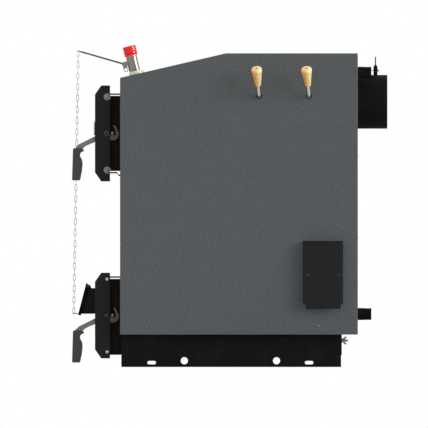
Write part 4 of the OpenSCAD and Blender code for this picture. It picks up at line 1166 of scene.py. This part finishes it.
class BOILER_OT_side_levers(Operator):
    """Bypass and cleaning levers with wooden handles"""

    bl_idname = "boiler.side_levers"
    bl_label = "Side levers"

    def execute(self, context):
        controls = controls_of(context)
        steel = finish("rod_steel", brushed, controls.rod, 0.2, dirt=0.1, relief=0.05)
        for name in ("front", "rear"):
            dress(name + "_side_lever", steel)
            node = name + "_wood_handle"
            neck, direction, length = long_axis(node)
            turn = direction.to_track_quat("Z", "Y").to_euler()
            wood = finish(name + "_wood", turned_wood, controls.wood_light, controls.wood_dark,
                          controls.wood_pale, neck, turn, length)
            handle = Shape()
            profile = self.profile(controls, widest(node, neck, direction), length)
            handle.lathe(profile, facing(direction, neck), 64)
            handle.piece(name + "_handle_turned", wood, name + "_side_lever", "handle_wood", [node])
        return {"FINISHED"}

    def profile(self, controls, wide, length):
        """A taper from the neck to a well rounded end with the screw's hole in it."""
        thin, hole, end = controls.wood_neck / 2, controls.screw_hole / 2, controls.wood_round
        taper = math.atan((wide - thin) / (length - end))
        chamfer, bottom = 0.8 * MM, length - 9 * MM
        profile = [(0, 0)]
        profile += rounded_rim(thin, 4 * MM, 2 * MM, -QUARTER_TURN, -taper, 6)
        profile += rounded_rim(wide, length, end, -taper, QUARTER_TURN, 14)
        profile += [(hole + chamfer, length), (hole, length - chamfer), (hole, bottom)]
        return profile + [(0, bottom)]


class BOILER_OT_side_cover(Operator):
    """Raised cover low on the right side"""

    bl_idname = "boiler.side_cover"
    bl_label = "Side cover"

    def execute(self, context):
        sheet = sheet_of(context)
        coat = finish("cover_coat", powder_coat, sheet.cover, rough=0.5, mottle=0.16, worn=0.3)
        rounded_copy("side_cover_pressed", "side_cover", sheet.edge, coat)
        low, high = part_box("side_cover")
        sunk = 0.3 * MM
        screws = Shape()
        for inset in (sheet.cover_front, sheet.cover_rear):
            place = (high.x - sunk, low.y + inset, low.z + sheet.cover_up)
            screws.button_screw(4.25 * MM, 2 * MM, facing(X, place))
        dull = finish("cover_screw_steel", brushed, sheet.cover_screw, 0.5)
        screws.piece("cover_screws", dull, "boiler", "cover_charcoal")
        return {"FINISHED"}


class BOILER_OT_back(Operator):
    """Flue with its damper, pipe stubs and rear hatch"""

    bl_idname = "boiler.back"
    bl_label = "Flue and rear"

    def execute(self, context):
        sheet, fittings = sheet_of(context), fittings_of(context)
        paint = finish("flue_paint", stove_paint, sheet.flue, 0.5)
        dress("flue_spigot", paint)
        self.stubs(fittings, paint)
        rounded_copy("rear_hatch_cut", "rear_hatch", 0.8 * MM, paint)
        cast = finish("cast_zinc", brushed, fittings.cast_zinc, 0.6, dirt=0.1)
        dress("hatch_wing_nuts", cast)
        sooty = finish("damper_iron", raw_casting, fittings.damper)
        rounded_copy("damper_plate", "flue_damper", 0.8 * MM, sooty)
        self.thumb_screw(fittings, bare_zinc(context))
        self.panel_screws(context)
        return {"FINISHED"}

    def stubs(self, fittings, paint):
        """Threaded pipe stubs in the sleeves that lead them through the casing."""
        low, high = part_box("pipe_stubs")
        sleeve, panel = half_width("pipe_stubs"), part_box("casing_back")[1].y - low.y
        wide, length = fittings.stub / 2, high.y - low.y
        bore, pitch = wide - fittings.stub_wall, fittings.thread
        turns, root = 10, wide - pitch / 2
        start = length - (turns + 1) * pitch
        profile = [(0, 0), (sleeve, 0), (sleeve, panel - 1 * MM), (sleeve - 1 * MM, panel)]
        profile += [(wide, panel)]
        for turn in range(turns):
            at = start + turn * pitch
            profile += [(wide, at), (root, at + pitch / 2)]
        profile += [(wide, length - pitch), (root, length), (bore, length)]
        profile += [(bore, 5 * MM), (0, 5 * MM)]
        pipes = Shape()
        for z in (low.z + sleeve, high.z - sleeve):
            pipes.lathe(profile, facing(Y, (middle("pipe_stubs").x, low.y, z)), 56)
        slot = NODE_SLOT["pipe_stubs"]
        pipes.piece("pipe_stubs_threaded", paint, "boiler", slot, ["pipe_stubs"])

    def thumb_screw(self, fittings, zinc):
        """A screw through the damper's collar that holds its spindle."""
        spindle, out = joint_place("flue_damper_turn"), fittings.collar / 2
        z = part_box("flue_spigot")[1].z - fittings.thumb_down
        thumb = Shape()
        thumb.hex_screw(3.4 * MM, 6.5 * MM, facing(Y, (spindle.x, spindle.y + out, z)))
        far_side = facing(-Y, (spindle.x, spindle.y - out, z))
        thumb.disc(2.5 * MM, -3 * MM, 5 * MM, far_side, 20)
        thumb.piece("damper_thumb_screw", zinc, "boiler", "boiler_black")

    def panel_screws(self, context):
        """Low painted screw heads down both sides of the rear panel."""
        sheet = sheet_of(context)
        low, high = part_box("casing_back")
        heads = Shape()
        for x in (low.x + sheet.screw_in, high.x - sheet.screw_in):
            for share in (0.06, 0.36, 0.66, 0.95):
                place = facing(Y, (x, high.y, low.z + share * (high.z - low.z)))
                heads.domed_rivet(sheet.rivet * 0.8, sheet.rivet * 0.16, place)
        heads.piece("rear_panel_screws", casing_coat(context), "boiler", "casing_grey")


# ---------- Studio ----------

# Directions towards the lights, how soft they are, and the softbox's size, place and colour
KEY, KEY_SOFTNESS = (0.5, 0.86, 0.23), math.radians(38)
FRONT, FRONT_SOFTNESS = (1, -0.2, 0.2), math.radians(100)
FILL, FILL_SOFTNESS = (-0.6, -1, 0.7), math.radians(60)
SOFTBOX_SIZE = (1.4, 0.5)
SOFTBOX_PLACE = Vector((1.0, 3.1, 1.85))
SOFTBOX_COLOUR = (1, 0.95, 0.7)
CAMERA_DISTANCE = 3.0


class BOILER_OT_studio(Operator):
    """Pale floor, even light with a low soft key from the rear right, and an orthographic side view"""

    bl_idname = "boiler.studio"
    bl_label = "Studio"

    def execute(self, context):
        studio = context.scene.boiler_studio
        self.floor(studio)
        self.sky(context.scene, studio)
        self.sun("key_light", KEY, studio.key, KEY_SOFTNESS)
        self.sun("front_light", FRONT, studio.front, FRONT_SOFTNESS)
        self.sun("fill_light", FILL, studio.fill, FILL_SOFTNESS)
        self.softbox(studio.side)
        lens = bpy.data.cameras.new("side_view")
        lens.type = "ORTHO"
        lens.ortho_scale = studio.across
        lens.clip_end = 20
        camera = self.place("side_view", lens)
        camera.location = Vector(studio.aim) + CAMERA_DISTANCE * X
        camera.rotation_euler = (QUARTER_TURN, 0, QUARTER_TURN)
        context.scene.camera = camera
        context.scene.view_settings.view_transform = "Standard"
        return {"FINISHED"}

    def place(self, name, data):
        """Puts a mesh, lamp or camera in the scene."""
        thing = bpy.data.objects.new(name, data)
        bpy.context.scene.collection.objects.link(thing)
        return thing

    def floor(self, studio):
        """A wide disc just under the rails."""
        shape = bmesh.new()
        bmesh.ops.create_circle(shape, cap_ends=True, segments=96, radius=studio.floor_size)
        shape.transform(Matrix.Translation((0, 0, -0.2 * MM)))
        mesh = bpy.data.meshes.new("floor")
        shape.to_mesh(mesh)
        shape.free()
        mesh.materials.append(finish("floor", studio_floor, studio.floor, studio.floor_size))
        self.place("floor", mesh)

    def sky(self, scene, studio):
        """Even light on the boiler, and white where a camera, mirror or window ray leaves it."""
        scene.world = bpy.data.worlds.new("sky")
        scene.world.use_nodes = True
        tree = scene.world.node_tree
        tree.nodes.clear()

        def larger(first, second):
            node = tree.nodes.new("ShaderNodeMath")
            node.operation = "MAXIMUM"
            tree.links.new(first, node.inputs[0])
            if isinstance(second, bpy.types.NodeSocket):
                tree.links.new(second, node.inputs[1])
            else:
                node.inputs[1].default_value = second
            return node.outputs[0]

        ray = tree.nodes.new("ShaderNodeLightPath").outputs
        seen = larger(ray["Is Camera Ray"], ray["Is Glossy Ray"])
        seen = larger(seen, ray["Is Transmission Ray"])
        sky = tree.nodes.new("ShaderNodeBackground")
        sky.inputs["Color"].default_value = (1, 1, 1, 1)
        tree.links.new(larger(seen, studio.ambient), sky.inputs["Strength"])
        tree.links.new(sky.outputs[0], tree.nodes.new("ShaderNodeOutputWorld").inputs["Surface"])

    def softbox(self, brightness):
        """A lit panel at the rear right, which shows as a pale stripe in round metal."""
        light = bpy.data.lights.new("side_light", "AREA")
        light.shape = "RECTANGLE"
        light.size, light.size_y = SOFTBOX_SIZE
        light.energy = brightness * math.pi * light.size * light.size_y
        light.color = SOFTBOX_COLOUR
        lamp = self.place("side_light", light)
        lamp.visible_diffuse = lamp.visible_camera = False
        lamp.matrix_world = facing(SOFTBOX_PLACE - middle("regulator_knob"), SOFTBOX_PLACE)

    def sun(self, name, towards, strength, softness):
        """A soft sun that glossy surfaces don't mirror."""
        light = bpy.data.lights.new(name, "SUN")
        light.energy = strength
        light.angle = softness
        lamp = self.place(name, light)
        lamp.visible_glossy = False
        lamp.matrix_world = facing(towards, Vector(towards) * 3)


# ---------- Add-on ----------

PIECES = (
    BOILER_OT_body, BOILER_OT_casing, BOILER_OT_doors, BOILER_OT_door_fixings, BOILER_OT_latches,
    BOILER_OT_draught, BOILER_OT_regulator, BOILER_OT_thermometer, BOILER_OT_side_levers,
    BOILER_OT_side_cover, BOILER_OT_back, BOILER_OT_studio,
)
SETTINGS = {
    "boiler_sheet": BoilerSheet,
    "boiler_fittings": BoilerFittings,
    "boiler_controls": BoilerControls,
    "boiler_studio": BoilerStudio,
}


class BOILER_PT_pieces(Panel):
    """Lists the boiler's pieces and settings"""

    bl_idname = "BOILER_PT_pieces"
    bl_label = "Solid fuel boiler"
    bl_space_type = "VIEW_3D"
    bl_region_type = "UI"
    bl_category = "Boiler"

    def draw(self, context):
        for operator in PIECES:
            self.layout.operator(operator.bl_idname)
        for group in SETTINGS:
            values = getattr(context.scene, group)
            box = self.layout.box()
            box.label(text=group.replace("_", " ").capitalize())
            for name in values.bl_rna.properties.keys():
                if name not in ("rna_type", "name"):
                    box.prop(values, name)


def register():
    for group, kind in SETTINGS.items():
        bpy.utils.register_class(kind)
        setattr(bpy.types.Scene, group, PointerProperty(type=kind))
    for operator in PIECES + (BOILER_PT_pieces,):
        bpy.utils.register_class(operator)


def unregister():
    for operator in reversed(PIECES + (BOILER_PT_pieces,)):
        bpy.utils.unregister_class(operator)
    for group, kind in SETTINGS.items():
        delattr(bpy.types.Scene, group)
        bpy.utils.unregister_class(kind)


def main():
    register()
    for operator in PIECES:
        group, name = operator.bl_idname.split(".")
        getattr(getattr(bpy.ops, group), name)()


if __name__ == "__main__":
    main()
